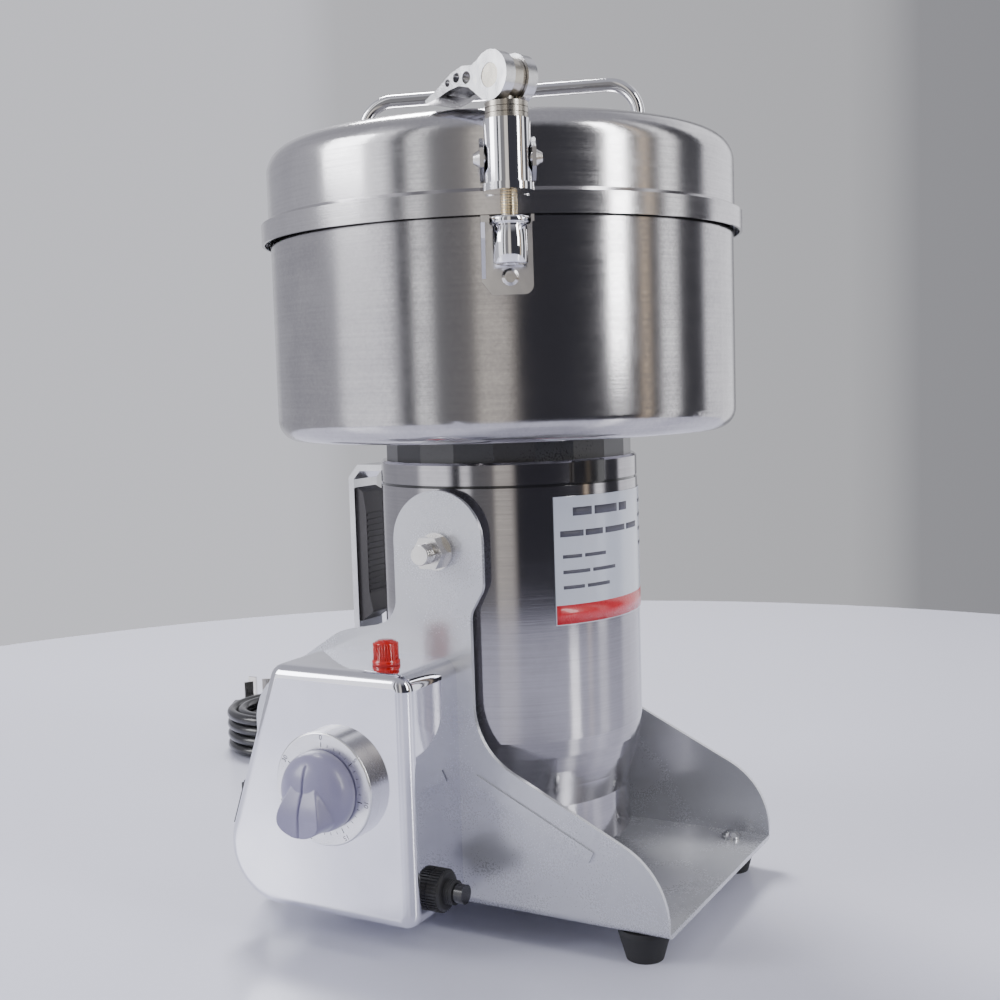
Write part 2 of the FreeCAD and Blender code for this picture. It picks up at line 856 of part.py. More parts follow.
def make_fan():
    """A flat fan disc with straight blades above the field."""
    disc = padded("fan", "XY_Plane", [hole("0", "0", "44"), hole("0", "0", "shaft_rad")], "2", "152")
    blades = []
    for index in range(10):
        angle = math.radians(36 * index)
        blade = block("fan_blade_%d" % index, "30", "2", "12", "13", "-1", "153")
        turn = FreeCAD.Rotation(FreeCAD.Vector(0, 0, 1), 36 * index)
        x = 13 * math.cos(angle) + math.sin(angle)
        y = 13 * math.sin(angle) - math.cos(angle)
        put(blade, "%.4f" % x, "%.4f" % y, "153", turn)
        blades.append(blade)
    finish("cooling_fan", fuse("fan_solid", [disc] + blades))


def make_neck():
    """What joins the tube to the bowl: rubber seal, steel band and faceted seat."""
    seal = turned(
        "neck_seal",
        [
            ("52", "tube_top"),
            ("58.4", "tube_top"),
            ("58.4", "tube_top + 1.2"),
            ("52", "tube_top + 1.2"),
        ],
    )
    band = turned(
        "neck_band",
        [
            ("50", "tube_top + 1.2"),
            ("58.9", "tube_top + 1.2"),
            ("58.9", "band_top - 1"),
            ("57.9", "band_top"),
            ("50", "band_top"),
        ],
    )
    finish("neck_band", band)
    lug = turned(
        "neck_lug",
        [
            ("59.1", "tube_top + 1"),
            ("61", "tube_top + 1"),
            ("61", "band_top - 0.6"),
            ("60.4", "band_top"),
            ("59.1", "band_top"),
        ],
    )
    wedge = padded(
        "lug_wedge",
        "XY_Plane",
        [[("0", "0"), ("70", "-9.5"), ("70", "9.5")]],
        "20",
        "tube_top",
    )
    turned_lug = doc.addObject("Part::Compound", "turned_lug")
    turned_lug.Links = [common("lug_solid", lug, wedge)]
    turned_lug.Placement = spot(0, 0, 0, -27.0)
    finish("neck_seal", group("neck_seal_group", [seal, turned_lug]))
    seat = padded(
        "seat_ring",
        "XY_Plane",
        [hexagon(56.3, 20, 4.0), hole("0", "0", "16.5")],
        "seat_top - band_top",
        "band_top",
    )
    finish("seat_ring", seat)


def make_label():
    """Thin rating plate bent round the tube."""
    plate = turned(
        "label",
        [
            ("tube_rad + 0.03", "132"),
            ("tube_rad + 0.43", "132"),
            ("tube_rad + 0.43", "187"),
            ("tube_rad + 0.03", "187"),
        ],
    )
    wedge = padded(
        "label_wedge", "XY_Plane", [[("0", "0"), ("80", "-76"), ("80", "76")]], "80", "120"
    )
    finish("rating_label", common("label_solid", plate, wedge))


def make_tilt_handle():
    """Strap handle for tipping the motor, with a moulded grip inside it."""
    strap = padded(
        "tilt_handle",
        "XZ_Plane",
        [[
            ("-59.2", "195.2"),
            ("-59.2", "198.2"),
            ("-78", "198.2"),
            ("-83.5", "192"),
            ("-83.5", "116"),
            ("-78", "110"),
            ("-61.2", "110"),
            ("-59.2", "112"),
            ("-59.2", "125"),
            ("-61.2", "125"),
            ("-61.2", "113"),
            ("-76.8", "113"),
            ("-80.5", "117"),
            ("-80.5", "191"),
            ("-76.8", "195.2"),
        ]],
        "20",
        middle=True,
    )
    screw_hole = cylinder("handle_screw_hole", "2", "8", "-57", "0", "118.5", "-X")
    finish("tilt_handle", cut("tilt_handle_cut", strap, [screw_hole]))
    grip = padded(
        "handle_grip",
        "XZ_Plane",
        [[
            ("-80.5", "121"),
            ("-80.5", "187"),
            ("-76.5", "185"),
            ("-75", "175"),
            ("-75", "136"),
            ("-73", "126"),
        ]],
        "17",
        middle=True,
    )
    round_edges(grip, [("-76.5", "0", "185"), ("-73", "0", "126")], "1.2")
    finish("handle_grip", grip)


# ---------------------------------------------------------------- bowl and lid


def make_bowl():
    """Spun stainless bowl with a hole for the shaft's seal."""
    bowl = turned(
        "bowl",
        [
            ("13", "seat_top"),
            ("bowl_rad", "seat_top"),
            ("bowl_rad", "bowl_rim"),
            ("bowl_rad - bowl_wall", "bowl_rim"),
            ("bowl_rad - bowl_wall", "seat_top + bowl_wall"),
            ("13", "seat_top + bowl_wall"),
        ],
    )
    outer = ("0", "bowl_rad", "seat_top")
    inner = ("0", "bowl_rad - bowl_wall", "seat_top + bowl_wall")
    round_edges(bowl, [outer], "9.5")
    round_edges(bowl, [inner], "8")
    finish("bowl", bowl)
    seal = turned(
        "shaft_seal",
        [
            ("shaft_rad + 0.1", "seat_top - 6"),
            ("13", "seat_top - 6"),
            ("13", "seat_top + bowl_wall"),
            ("17", "seat_top + bowl_wall"),
            ("16", "seat_top + bowl_wall + 2.5"),
            ("shaft_rad + 0.1", "seat_top + bowl_wall + 2.5"),
        ],
    )
    finish("shaft_seal", seal)


def make_blades():
    """Two blades at right angles on the shaft, held apart and nipped by a nut."""
    for label, low, reach, rise, turn in (
        ("lower_blade", 223.0, 88.0, -3.2, 20.0),
        ("upper_blade", 250.0, 80.0, 10.0, 110.0),
    ):
        wing = [
            ("-%s" % reach, str(low + rise)),
            ("-%s" % (reach * 0.55), str(low + rise)),
            ("-24", str(low)),
            ("24", str(low)),
            (str(reach * 0.55), str(low + rise)),
            (str(reach), str(low + rise)),
            (str(reach), str(low + rise + 2.5)),
            (str(reach * 0.55), str(low + rise + 2.5)),
            ("24", str(low + 2.5)),
            ("-24", str(low + 2.5)),
            ("-%s" % (reach * 0.55), str(low + rise + 2.5)),
            ("-%s" % reach, str(low + rise + 2.5)),
        ]
        blade = padded(label, "XZ_Plane", [wing], "22", middle=True)
        bore = cylinder(label + "_bore", "shaft_rad", "40", "0", "0", str(low - 20))
        finish(label, cut(label + "_cut", blade, [bore]), turn=turn)
    spacers = []
    for index, (low, length) in enumerate(((217.2, 5.8), (225.5, 24.5), (252.5, 3.0))):
        spacers.append(
            padded(
                "spacer_%d" % index,
                "XY_Plane",
                [hole("0", "0", "11"), hole("0", "0", "shaft_rad")],
                str(length),
                str(low),
            )
        )
    finish("blade_spacers", group("spacer_group", spacers))
    nut = padded(
        "blade_nut", "XY_Plane", [hexagon(10.5), hole("0", "0", "shaft_rad")], "9", "255.5"
    )
    finish("blade_nut", nut)


def make_lid():
    """Pressed lid: a skirt over the bowl's rim, a step for the gasket, a round top."""
    lid = turned(
        "lid",
        [
            ("0", "lid_top - lid_wall"),
            ("lid_rad - lid_wall", "lid_top - lid_wall - 1.2"),
            ("lid_rad - lid_wall", "step_top - lid_wall"),
            ("skirt_rad - lid_wall", "skirt_top - lid_wall"),
            ("skirt_rad - lid_wall", "skirt_low"),
            ("skirt_rad", "skirt_low"),
            ("skirt_rad", "skirt_top"),
            ("lid_rad", "step_top"),
            ("lid_rad", "lid_top - 1.2"),
            ("0", "lid_top"),
        ],
    )
    round_edges(lid, [("0", "lid_rad", "lid_top - 1.2")], "11.5")
    round_edges(lid, [("0", "lid_rad - lid_wall", "lid_top - lid_wall - 1.2")], "10.3")
    holes = []
    for mark in ("", "-"):
        holes.append(
            cylinder("grip_hole%s" % len(mark), "rod_rad + 0.05", "20", mark + "grip_half", "0", "330")
        )
    drilled = cut("lid_cut", lid, holes)
    finish("lid", drilled, turn=GRIP_TURN)
    gasket = turned(
        "gasket",
        [
            ("100.4", "bowl_rim + 0.05"),
            ("106", "bowl_rim + 0.05"),
            ("103.2", "bowl_rim + 1.6"),
            ("100.4", "bowl_rim + 1.6"),
        ],
    )
    finish("lid_gasket", gasket)


GRIP_TURN = 16.6


def make_lid_handle():
    """One bent round rod through the lid, held by a nut under each end."""
    half = number("grip_half")
    top = number("grip_top")
    low = number("lid_top") - 9
    bend = 13.5
    feature = doc.addObject("Part::Feature", "lid_grip_rod")
    path = rounded_path(
        [
            FreeCAD.Vector(-half, 0, low),
            FreeCAD.Vector(-half, 0, top),
            FreeCAD.Vector(half, 0, top),
            FreeCAD.Vector(half, 0, low),
        ],
        [bend, bend],
    )
    feature.Shape = round_pipe(path, number("rod_rad"))
    nut = padded("grip_nut", "XY_Plane", [hexagon(5.8), hole("0", "0", "rod_rad")], "5")
    under = number("lid_top") - number("lid_wall") - 1.2 - 5.2
    nuts = repeated("grip_nuts", nut, [spot(-half, 0, under), spot(half, 0, under)])
    finish("lid_handle", group("lid_handle_group", [feature, nuts]), turn=GRIP_TURN)


def rounded_path(points, radii):
    """Straight runs joined by tangent arcs, one radius for each inner point."""
    edges = []
    start = points[0]
    for before, corner, after, radius in zip(points, points[1:], points[2:], radii):
        back = (before - corner).normalize()
        ahead = (after - corner).normalize()
        half_turn = (math.pi - back.getAngle(ahead)) / 2
        reach = radius * math.tan(half_turn)
        first = corner + back * reach
        last = corner + ahead * reach
        inward = (back + ahead).normalize()
        middle = corner + inward * (radius / math.cos(half_turn) - radius)
        edges.append(Part.LineSegment(start, first).toShape())
        edges.append(Part.Arc(first, middle, last).toShape())
        start = last
    edges.append(Part.LineSegment(start, points[-1]).toShape())
    return Part.Wire(edges)


def round_pipe(path, radius):
    start = path.Edges[0]
    point = start.valueAt(start.FirstParameter)
    way = start.tangentAt(start.FirstParameter)
    ring = Part.Wire([Part.Circle(point, way, radius).toShape()])
    pipe = path.makePipeShell([ring], True, False)
    expected = math.pi * radius * radius * path.Length
    if abs(pipe.Volume - expected) > 0.01 * expected:
        raise RuntimeError("a pipe's volume is %.1f, not %.1f" % (pipe.Volume, expected))
    return pipe


# ---------------------------------------------------------------- hinge and clamp

HINGE_TURN = 120.0
CLAMP_TURN = -60.0
LEVER_TURN = 161.6


def make_hinge():
    """A two-leaf hinge opposite the clamp: knuckles on a pin outside the wall."""
    middle = [hinge_knuckle("lid_knuckle", "-10", "20")]
    sides = [
        hinge_knuckle("bowl_knuckle_a", "-22", "11.8"),
        hinge_knuckle("bowl_knuckle_b", "10.2", "11.8"),
    ]
    skirt = cylinder("skirt_limit", "skirt_rad", "60", "0", "0", "280")
    wall = cylinder("wall_limit", "bowl_rad", "100", "0", "0", "230")
    lid_leaf = block("lid_leaf", "5", "20", "8.5", "106", "-10", "299")
    lid_link = block("lid_link", "5", "20", "5", "107", "-10", "300.5")
    lid_solid = fuse("lid_hinge_solid", middle + [lid_leaf, lid_link])
    pin_hole = cylinder("lid_pin_hole", "2.05", "60", "hinge_rad", "-30", "hinge_z", "+Y")
    finish("lid_hinge_leaf", cut("lid_hinge_cut", lid_solid, [skirt, pin_hole]), turn=HINGE_TURN)
    bowl_leaf = block("bowl_leaf", "3.5", "44", "26", "102.5", "-22", "268")
    arms = []
    for index, start in enumerate(("10.2", "-22")):
        arm = padded(
            "bowl_arm_%d" % index,
            "XZ_Plane",
            [[
                ("105", "282"),
                ("113.5", "298.8"),
                ("115", "303"),
                ("112", "303"),
                ("108.9", "297.5"),
                ("105", "295"),
            ]],
            "11.8",
            start,
        )
        arms.append(arm)
    bowl_solid = fuse("bowl_hinge_solid", sides + arms + [bowl_leaf])
    bowl_pin_hole = cylinder("bowl_pin_hole", "2", "60", "hinge_rad", "-30", "hinge_z", "+Y")
    finish("bowl_hinge_leaf", cut("bowl_hinge_cut", bowl_solid, [wall, bowl_pin_hole]), turn=HINGE_TURN)
    pin = cylinder("hinge_pin_rod", "2", "46", "hinge_rad", "-23", "hinge_z", "+Y")
    finish("hinge_pin", group("hinge_pin_group", [pin]), turn=HINGE_TURN)


def hinge_knuckle(name, low, length):
    return cylinder(name, "3.6", length, "hinge_rad", low, "hinge_z", "+Y")


def make_clamp():
    """Over-centre clamp on the lid: barrel, draw rod, cam lever and ferrule nut."""
    base = block("bracket_base", "4", "20.8", "7.3", "103", "-10.4", "310.2")
    wings = []
    for index, low in enumerate(("-10.4", "8.9")):
        wing = padded(
            "wing_%d" % index,
            "XZ_Plane",
            [[
                ("103", "310.2"),
                ("113", "310.2"),
                ("120", "314.5"),
                ("120", "321.5"),
                ("113", "326"),
                ("103", "327.2"),
            ]],
            "1.5",
            "8.9" if index == 0 else "-10.4",
        )
        wings.append(wing)
    wall = cylinder("lid_limit", "lid_rad", "60", "0", "0", "290")
    pins = cylinder("wing_hole", "2.05", "40", "clamp_rad", "-20", "trunnion_z", "+Y")
    bracket_solid = fuse("bracket_solid", [base] + wings)
    finish("clamp_bracket", cut("bracket_cut", bracket_solid, [wall, pins]), turn=CLAMP_TURN)

    tall = "barrel_top - barrel_low"
    barrel = cylinder("barrel", "barrel_rad", tall, "clamp_rad", "0", "barrel_low")
    flange = cylinder("barrel_flange", "9.5", "2.7", "clamp_rad", "0", "barrel_low - 2.7")
    bore = cylinder("barrel_bore", "3.05", "60", "clamp_rad", "0", "290")
    sockets = cylinder("barrel_sockets", "2.05", "20", "clamp_rad", "-10", "trunnion_z", "+Y")
    room = cylinder("skirt_room", "skirt_rad + 0.4", "20", "0", "0", "300")
    trimmed_flange = cut("trimmed_flange", flange, [room])
    barrel_solid = fuse("barrel_solid", [barrel, trimmed_flange])
    finish("clamp_barrel", cut("barrel_cut", barrel_solid, [bore, sockets]), turn=CLAMP_TURN)
    screws = []
    for way, mark in (("+Y", ""), ("-Y", "-")):
        name = "swing_screw_%d" % len(mark)
        shank = cylinder(name + "_shank", "2", "5.4", "clamp_rad", mark + "5", "trunnion_z", way)
        head = cone(name + "_head", "3.25", "1.8", "2.4", "clamp_rad", mark + "10.4", "trunnion_z", way)
        screws.append(fuse(name, [shank, head]))
    finish("swing_screws", group("swing_screw_group", screws), turn=CLAMP_TURN)

    rod = cylinder("draw_rod_shank", "rod_rad", "60", "clamp_rad", "0", "281")
    eye = cylinder("rod_eye", "7.6", "eye_half + eye_half", "0", "-eye_half", "0", "+Y")
    eye_bore = cylinder("rod_eye_bore", "4.4", "20", "0", "-10", "0", "+Y")
    turned_eye = doc.addObject("Part::Compound", "turned_eye")
    turned_eye.Links = [cut("rod_eye_cut", eye, [eye_bore])]
    turned_eye.Placement = FreeCAD.Placement(
        FreeCAD.Vector(number("clamp_rad"), 0, number("cam_z")),
        FreeCAD.Rotation(FreeCAD.Vector(0, 0, 1), LEVER_TURN - CLAMP_TURN),
    )
    rod_solid = fuse("draw_rod_solid", [rod, turned_eye])
    finish("draw_rod", rod_solid, turn=CLAMP_TURN)

    washers = []
    for index, low in enumerate((331.8, 333.9, 336.0)):
        name = "spring_washer_%d" % index
        body = padded(
            name, "XY_Plane", [hole("0", "0", "8"), hole("0", "0", "3.05")], "1.9", str(low)
        )
        washers.append(put(body, "clamp_rad", "0", "0"))
    finish("spring_washers", group("washer_group", washers), turn=CLAMP_TURN)

    ferrule = turned(
        "ferrule",
        [
            ("3", "279.6"),
            ("6", "279.6"),
            ("6.4", "280.4"),
            ("6.4", "293.6"),
            ("7.5", "294.3"),
            ("7.5", "catch_top"),
            ("3", "catch_top"),
        ],
    )
    ferrule.Placement = FreeCAD.Placement(
        FreeCAD.Vector(number("clamp_rad"), 0, 0), FreeCAD.Rotation()
    )
    finish("ferrule_nut", group("ferrule_group", [ferrule]), turn=CLAMP_TURN)
    make_lever()
    make_catch()


def make_lever():
    """Cam lever: a forked head on the rod's pin and an arm arched over the lid."""
    arm = padded(
        "cam_arm",
        "XZ_Plane",
        [[
            ("0", "9"),
            ("6", "6.7"),
            ("9.5", "5.2"),
            ("15", "5.9"),
            ("21", "4.4"),
            ("28", "0.6"),
            ("36.5", "-3"),
            ("36", "-4.4"),
            ("28.5", "-3.2"),
            ("22.6", "-1.6"),
            ("17", "-1"),
            ("11.5", "-2.4"),
            ("6.5", "-6.2"),
            ("0", "-8"),
        ]],
        "cam_half + cam_half",
        middle=True,
    )
    head = cylinder("cam_head", "cam_rad", "cam_half + cam_half", "0", "-cam_half", "0", "+Y")
    fork = block("cam_fork", "23", "6.6", "30", "-11", "-3.3", "-15")
    relief = block("cam_relief", "14", "10", "12", "12", "-5", "-11.4")
    tools = [fork, relief, cylinder("pin_hole", "4.4", "40", "0", "-20", "0", "+Y")]
    for name, reach, rise, radius in (
        ("a", "12.6", "1.3", "2.3"),
        ("b", "18.2", "2.2", "1.8"),
        ("c", "23.2", "1.2", "1.4"),
    ):
        tools.append(cylinder("arm_hole_" + name, radius, "40", reach, "-20", rise, "+Y"))
    lever = cut("cam_lever_cut", fuse("cam_solid", [arm, head]), tools)
    angle = math.radians(CLAMP_TURN)
    x = "%.3f" % (number("clamp_rad") * math.cos(angle))
    y = "%.3f" % (number("clamp_rad") * math.sin(angle))
    finish("cam_lever", lever, x=x, y=y, z="cam_z", turn=LEVER_TURN)
    pin = cylinder("cam_pin_rod", "4.35", "15.6", "0", "-7.8", "0", "+Y")
    finish("cam_pin", group("cam_pin_group", [pin]), x=x, y=y, z="cam_z", turn=LEVER_TURN)


def make_catch():
    """Bracket on the bowl whose slotted shelf takes the ferrule nut."""
    back = padded(
        "catch_back",
        "YZ_Plane",
        [[
            ("-10.8", "catch_top"),
            ("8.8", "catch_top"),
            ("8.8", "269"),
            ("-7", "269"),
            ("-10.8", "274"),
        ]],
        "4",
        "102",
    )
    round_edges(back, [("104", "8.8", "269")], "3.6")
    shelf = block("catch_shelf", "19", "19.6", "2.5", "104", "-10.8", "catch_top - 2.5")
    flange = padded(
        "catch_flange",
        "XZ_Plane",
        [[("103", "275"), ("108", "275"), ("119", "289"), ("121", "295"), ("103", "295")]],
        "1.5",
        "9.3",
    )
    wall = cylinder("bowl_limit", "bowl_rad", "100", "0", "0", "230")
    slot = cylinder("shelf_slot_end", "7.6", "8", "clamp_rad", "0", "292")
    mouth = block("shelf_slot_mouth", "20", "15.2", "8", "clamp_rad", "-7.6", "292")
    screw_hole = cylinder("catch_screw_hole", "2", "10", "100", "0", "275.6", "+X")
    solid = fuse("catch_solid", [back, shelf, flange])
    finish("catch_bracket", cut("catch_cut", solid, [wall, slot, mouth, screw_hole]), turn=CLAMP_TURN)


def make_bracket_screws():
    """Slotted screws of the catch and of the tilt handle."""
    catch = cylinder("catch_shank", "2", "2.4", "bowl_rad", "0", "275.6", "+X")
    head = cone("catch_head", "3.3", "2.2", "1.6", "106", "0", "275.6", "+X")
    slot = block("catch_head_slot", "2", "8", "0.8", "107", "-4", "275.2")
    screw = cut("catch_screw", fuse("catch_screw_solid", [catch, head]), [slot])
    turned_screw = doc.addObject("Part::Compound", "turned_catch_screw")
    turned_screw.Links = [screw]
    turned_screw.Placement = spot(0, 0, 0, CLAMP_TURN)
    shank = cylinder("handle_shank", "2", "1.9", "-59.3", "0", "118.5", "-X")
    handle_head = cone("handle_head", "3.3", "2.2", "1.8", "-61.2", "0", "118.5", "-X")
    handle = fuse("handle_screw", [shank, handle_head])
    finish("bracket_screws", group("bracket_screw_group", [turned_screw, handle]))


# ---------------------------------------------------------------- mains cord

# Route of the cord from the gland to the coil, about the motor's axis.
CORD_ROUTE = [
    (-70.0, -36.0, 30.0),
    (-71.0, -6.0, 29.0),
    (-86.0, 24.0, 25.0),
    (-115.0, 42.0, 18.0),
    (-141.0, 62.0, 8.0),
    (-163.0, 86.0, 3.4),
    (-181.0, 112.0, 3.4),
    (-202.0, 134.0, 3.4),
    (-214.5, 160.5, 3.4),
]


def make_gland():
    """Strain relief through the side plate: nut, flange and a tapered tail."""
    gland = turned(
        "gland",
        [
            ("cord_rad", "-6"),
            ("7", "-6"),
            ("7", "-2"),
            ("5", "-2"),
            ("5", "0"),
            ("7.5", "0"),
            ("7.5", "2.2"),
            ("5.6", "3"),
            ("4.5", "27.75"),
            ("cord_rad", "27.75"),
        ],
    )
    finish("cord_gland", gland, x="gland_x", y="plate - base_half", z="gland_z", rotation=DIRECTIONS["+Y"])


CORD_TAIL = [
    (-219.8, 167.1, 24.7),
    (-225.7, 180.2, 23.4),
    (-232.3, 192.7, 18.8),
    (-239.7, 205.0, 13.8),
    (-248.8, 212.2, 10.4),
    (-260.1, 215.5, 8.3),
    (-271.7, 214.2, 7.0),
    (-280.4, 209.4, 7.0),
]


def loose_cord(name, route):
    """One tube along a stretch of cord that isn't in the coil."""
    points = [FreeCAD.Vector(*point) for point in route]
    radii = []
    for before, corner, after in zip(points, points[1:], points[2:]):
        back = before - corner
        ahead = after - corner
        half_turn = (math.pi - back.getAngle(ahead)) / 2
        radii.append(0.45 * min(back.Length, ahead.Length) / math.tan(half_turn))
    path = rounded_path(points, radii)
    print(name, "radii", [round(radius, 1) for radius in radii], "length", round(path.Length, 1))
    tube = doc.addObject("Part::Feature", name)
    tube.Shape = round_pipe(path, number("cord_rad"))
    return tube


def make_cord():
    stretches = [loose_cord("cord_to_coil", CORD_ROUTE), loose_cord("cord_to_plug", CORD_TAIL)]
    finish("cord_lead", group("cord_stretches", stretches))
    coil = turned(
        "coil",
        [
            ("coil_inner", "0.9"),
            ("coil_outer", "0.9"),
            ("coil_outer", "coil_tall"),
            ("coil_inner", "coil_tall"),
        ],
    )
    round_edges(coil, [("0", "coil_inner", "coil_tall"), ("0", "coil_outer", "coil_tall")], "3")
    finish("cord_coil", coil, x="coil_x", y="coil_y")


def make_tie():
    """A wire tie round the coil's bundle."""
    outer = block("tie_outer", "15.4", "5", "coil_tall + 0.8", "coil_inner - 0.9", "-2.5", "0")
    inner = turned(
        "tie_bundle",
        [
            ("coil_inner - 0.05", "0.85"),
            ("coil_outer + 0.05", "0.85"),
            ("coil_outer + 0.05", "coil_tall + 0.05"),
            ("coil_inner - 0.05", "coil_tall + 0.05"),
        ],
    )
    round_edges(
        inner,
        [("0", "coil_inner - 0.05", "coil_tall + 0.05"), ("0", "coil_outer + 0.05", "coil_tall + 0.05")],
        "2.6",
    )
    finish("cord_tie", cut("tie_cut", outer, [inner]), x="coil_x", y="coil_y", turn=75.0)


PLUG_X = "-312.8"
PLUG_Y = "191.5"
PLUG_TURN = 118.9


def make_plug():
    """Three-pin plug lying on its back behind the coil, pins up."""
    body = padded(
        "plug_body",
        "XY_Plane",
        [[("-13", "-14"), ("13", "-14"), ("13", "6"), ("8", "18"), ("-8", "18"), ("-13", "6")]],
        "14",
    )
    round_edges(body, [("13", "-14", "7"), ("-13", "-14", "7"), ("13", "6", "7"), ("-13", "6", "7")], "5")
    round_edges(body, [("0", "-14", "14")], "2.5")
    tail = cone("plug_tail", "5.4", "4.2", "24", "0", "-13", "7", "-Y")
    plug = fuse("plug_solid", [body, tail])
    finish("plug_body", plug, x=PLUG_X, y=PLUG_Y, turn=PLUG_TURN)
    pins = []
    for index, (x, y, angle) in enumerate(((-7.9, 5.0, 30.0), (7.9, 5.0, -30.0), (0.0, -6.5, 0.0))):
        pin = block("pin_%d" % index, "1.6", "6.4", "16", "-0.8", "-3.2", "14")
        holder = doc.addObject("Part::Compound", "pin_place_%d" % index)
        holder.Links = [pin]
        holder.Placement = spot(x, y, 0, angle)
        pins.append(holder)
    all_pins = group("pin_group", pins)
    finish("plug_pins", all_pins, x=PLUG_X, y=PLUG_Y, turn=PLUG_TURN)


def check_and_export():
    doc.recompute()
    for thing in doc.Objects:
        if "Invalid" in thing.State or "Error" in thing.State:
            raise RuntimeError("%s failed: %s" % (thing.Name, thing.State))
    os.makedirs("parts", exist_ok=True)
    for piece in FINISHED:
        if piece.Shape.isNull() or not piece.Shape.isValid():
            raise RuntimeError(piece.Label + " is not a valid shape")
        if not piece.Shape.Solids:
            raise RuntimeError(piece.Label + " has no solid")
        piece.Shape.exportStep("parts/%s.step" % piece.Label)
    print("nodes", len(FINISHED))


write_sheet()
make_base()
make_feet()
make_base_screws()
make_control_box()
make_switch()
make_timer()
make_lamp()
make_overload()
make_trunnions()
make_motor_tube()
make_motor_inside()
make_neck()
make_label()
make_tilt_handle()
make_bowl()
make_blades()
make_lid()
make_lid_handle()
make_hinge()
make_clamp()
make_bracket_screws()
make_gland()
make_cord()
make_tie()
make_plug()
check_and_export()
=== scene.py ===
from math import cos, exp, hypot, pi, radians, sin, sqrt

import bmesh
import bpy
from mathutils import Matrix, Vector


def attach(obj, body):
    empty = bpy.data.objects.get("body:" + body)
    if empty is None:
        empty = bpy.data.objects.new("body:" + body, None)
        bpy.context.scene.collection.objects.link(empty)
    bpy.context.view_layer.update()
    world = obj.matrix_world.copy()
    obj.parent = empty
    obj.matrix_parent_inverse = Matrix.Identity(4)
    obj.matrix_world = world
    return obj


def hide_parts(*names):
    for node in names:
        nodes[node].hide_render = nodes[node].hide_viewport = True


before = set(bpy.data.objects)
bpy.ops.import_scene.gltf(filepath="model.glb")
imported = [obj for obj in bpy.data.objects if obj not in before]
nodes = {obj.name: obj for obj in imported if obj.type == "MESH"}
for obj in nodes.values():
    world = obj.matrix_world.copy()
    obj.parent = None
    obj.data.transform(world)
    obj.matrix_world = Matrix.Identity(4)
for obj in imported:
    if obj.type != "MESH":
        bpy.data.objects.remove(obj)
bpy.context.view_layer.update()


# ---- Folded base -------------------------------------------------------------
# One sheet of 2 mm steel folded into a U, with a pressed bead on each side plate.
# It is sprayed light silver and lacquered, so it is glossy but not a mirror.

# The motor stands this far to one side of the middle of the machine.
AXIS_Y = 0.010645


def new_group(name, takes, gives):
    """A shader node group with named sockets, its input and its output."""
    group = bpy.data.node_groups.new(name, "ShaderNodeTree")
    for label, kind, value in takes:
        socket = group.interface.new_socket(label, in_out="INPUT", socket_type=kind)
        if value is not None:
            socket.default_value = value
    for label, kind in gives:
        group.interface.new_socket(label, in_out="OUTPUT", socket_type=kind)
    return group, group.nodes.new("NodeGroupInput"), group.nodes.new("NodeGroupOutput")


def maths(tree, operation, first, second=None, third=None):
    """One Math node; each of its inputs is a number or another node's socket."""
    node = tree.nodes.new("ShaderNodeMath")
    node.operation = operation
    for index, value in enumerate((first, second, third)):
        if value is None:
            continue
        if isinstance(value, (int, float)):
            node.inputs[index].default_value = value
        else:
            tree.links.new(value, node.inputs[index])
    return node.outputs[0]


def noise(tree, vector, scale, detail, roughness=0.55):
    """One Noise Texture read at vector; scale may be a socket."""
    node = tree.nodes.new("ShaderNodeTexNoise")
    tree.links.new(vector, node.inputs["Vector"])
    if isinstance(scale, (int, float)):
        node.inputs["Scale"].default_value = scale
    else:
        tree.links.new(scale, node.inputs["Scale"])
    node.inputs["Detail"].default_value = detail
    node.inputs["Roughness"].default_value = roughness
    return node.outputs["Fac"]


def mixed_colour(tree, share, first, second):
    """A colour between two others, by a share that changes over the surface."""
    node = tree.nodes.new("ShaderNodeMix")
    node.data_type = "RGBA"
    tree.links.new(share, node.inputs["Factor"])
    for socket, value in ((node.inputs["A"], first), (node.inputs["B"], second)):
        if isinstance(value, tuple):
            socket.default_value = (*value, 1.0)
        else:
            tree.links.new(value, socket)
    return node.outputs["Result"]


def spread(tree, value, low, high):
    """A 0 to 1 value stretched between low and high."""
    node = tree.nodes.new("ShaderNodeMapRange")
    tree.links.new(value, node.inputs["Value"])
    for label, number in (("From Min", 0.3), ("From Max", 0.7)):
        node.inputs[label].default_value = number
    for label, number in (("To Min", low), ("To Max", high)):
        if isinstance(number, (int, float)):
            node.inputs[label].default_value = number
        else:
            tree.links.new(number, node.inputs[label])
    return node.outputs["Result"]


SURFACE_GIVES = [
    ("Colour", "NodeSocketColor"),
    ("Roughness", "NodeSocketFloat"),
    ("Height", "NodeSocketFloat"),
]


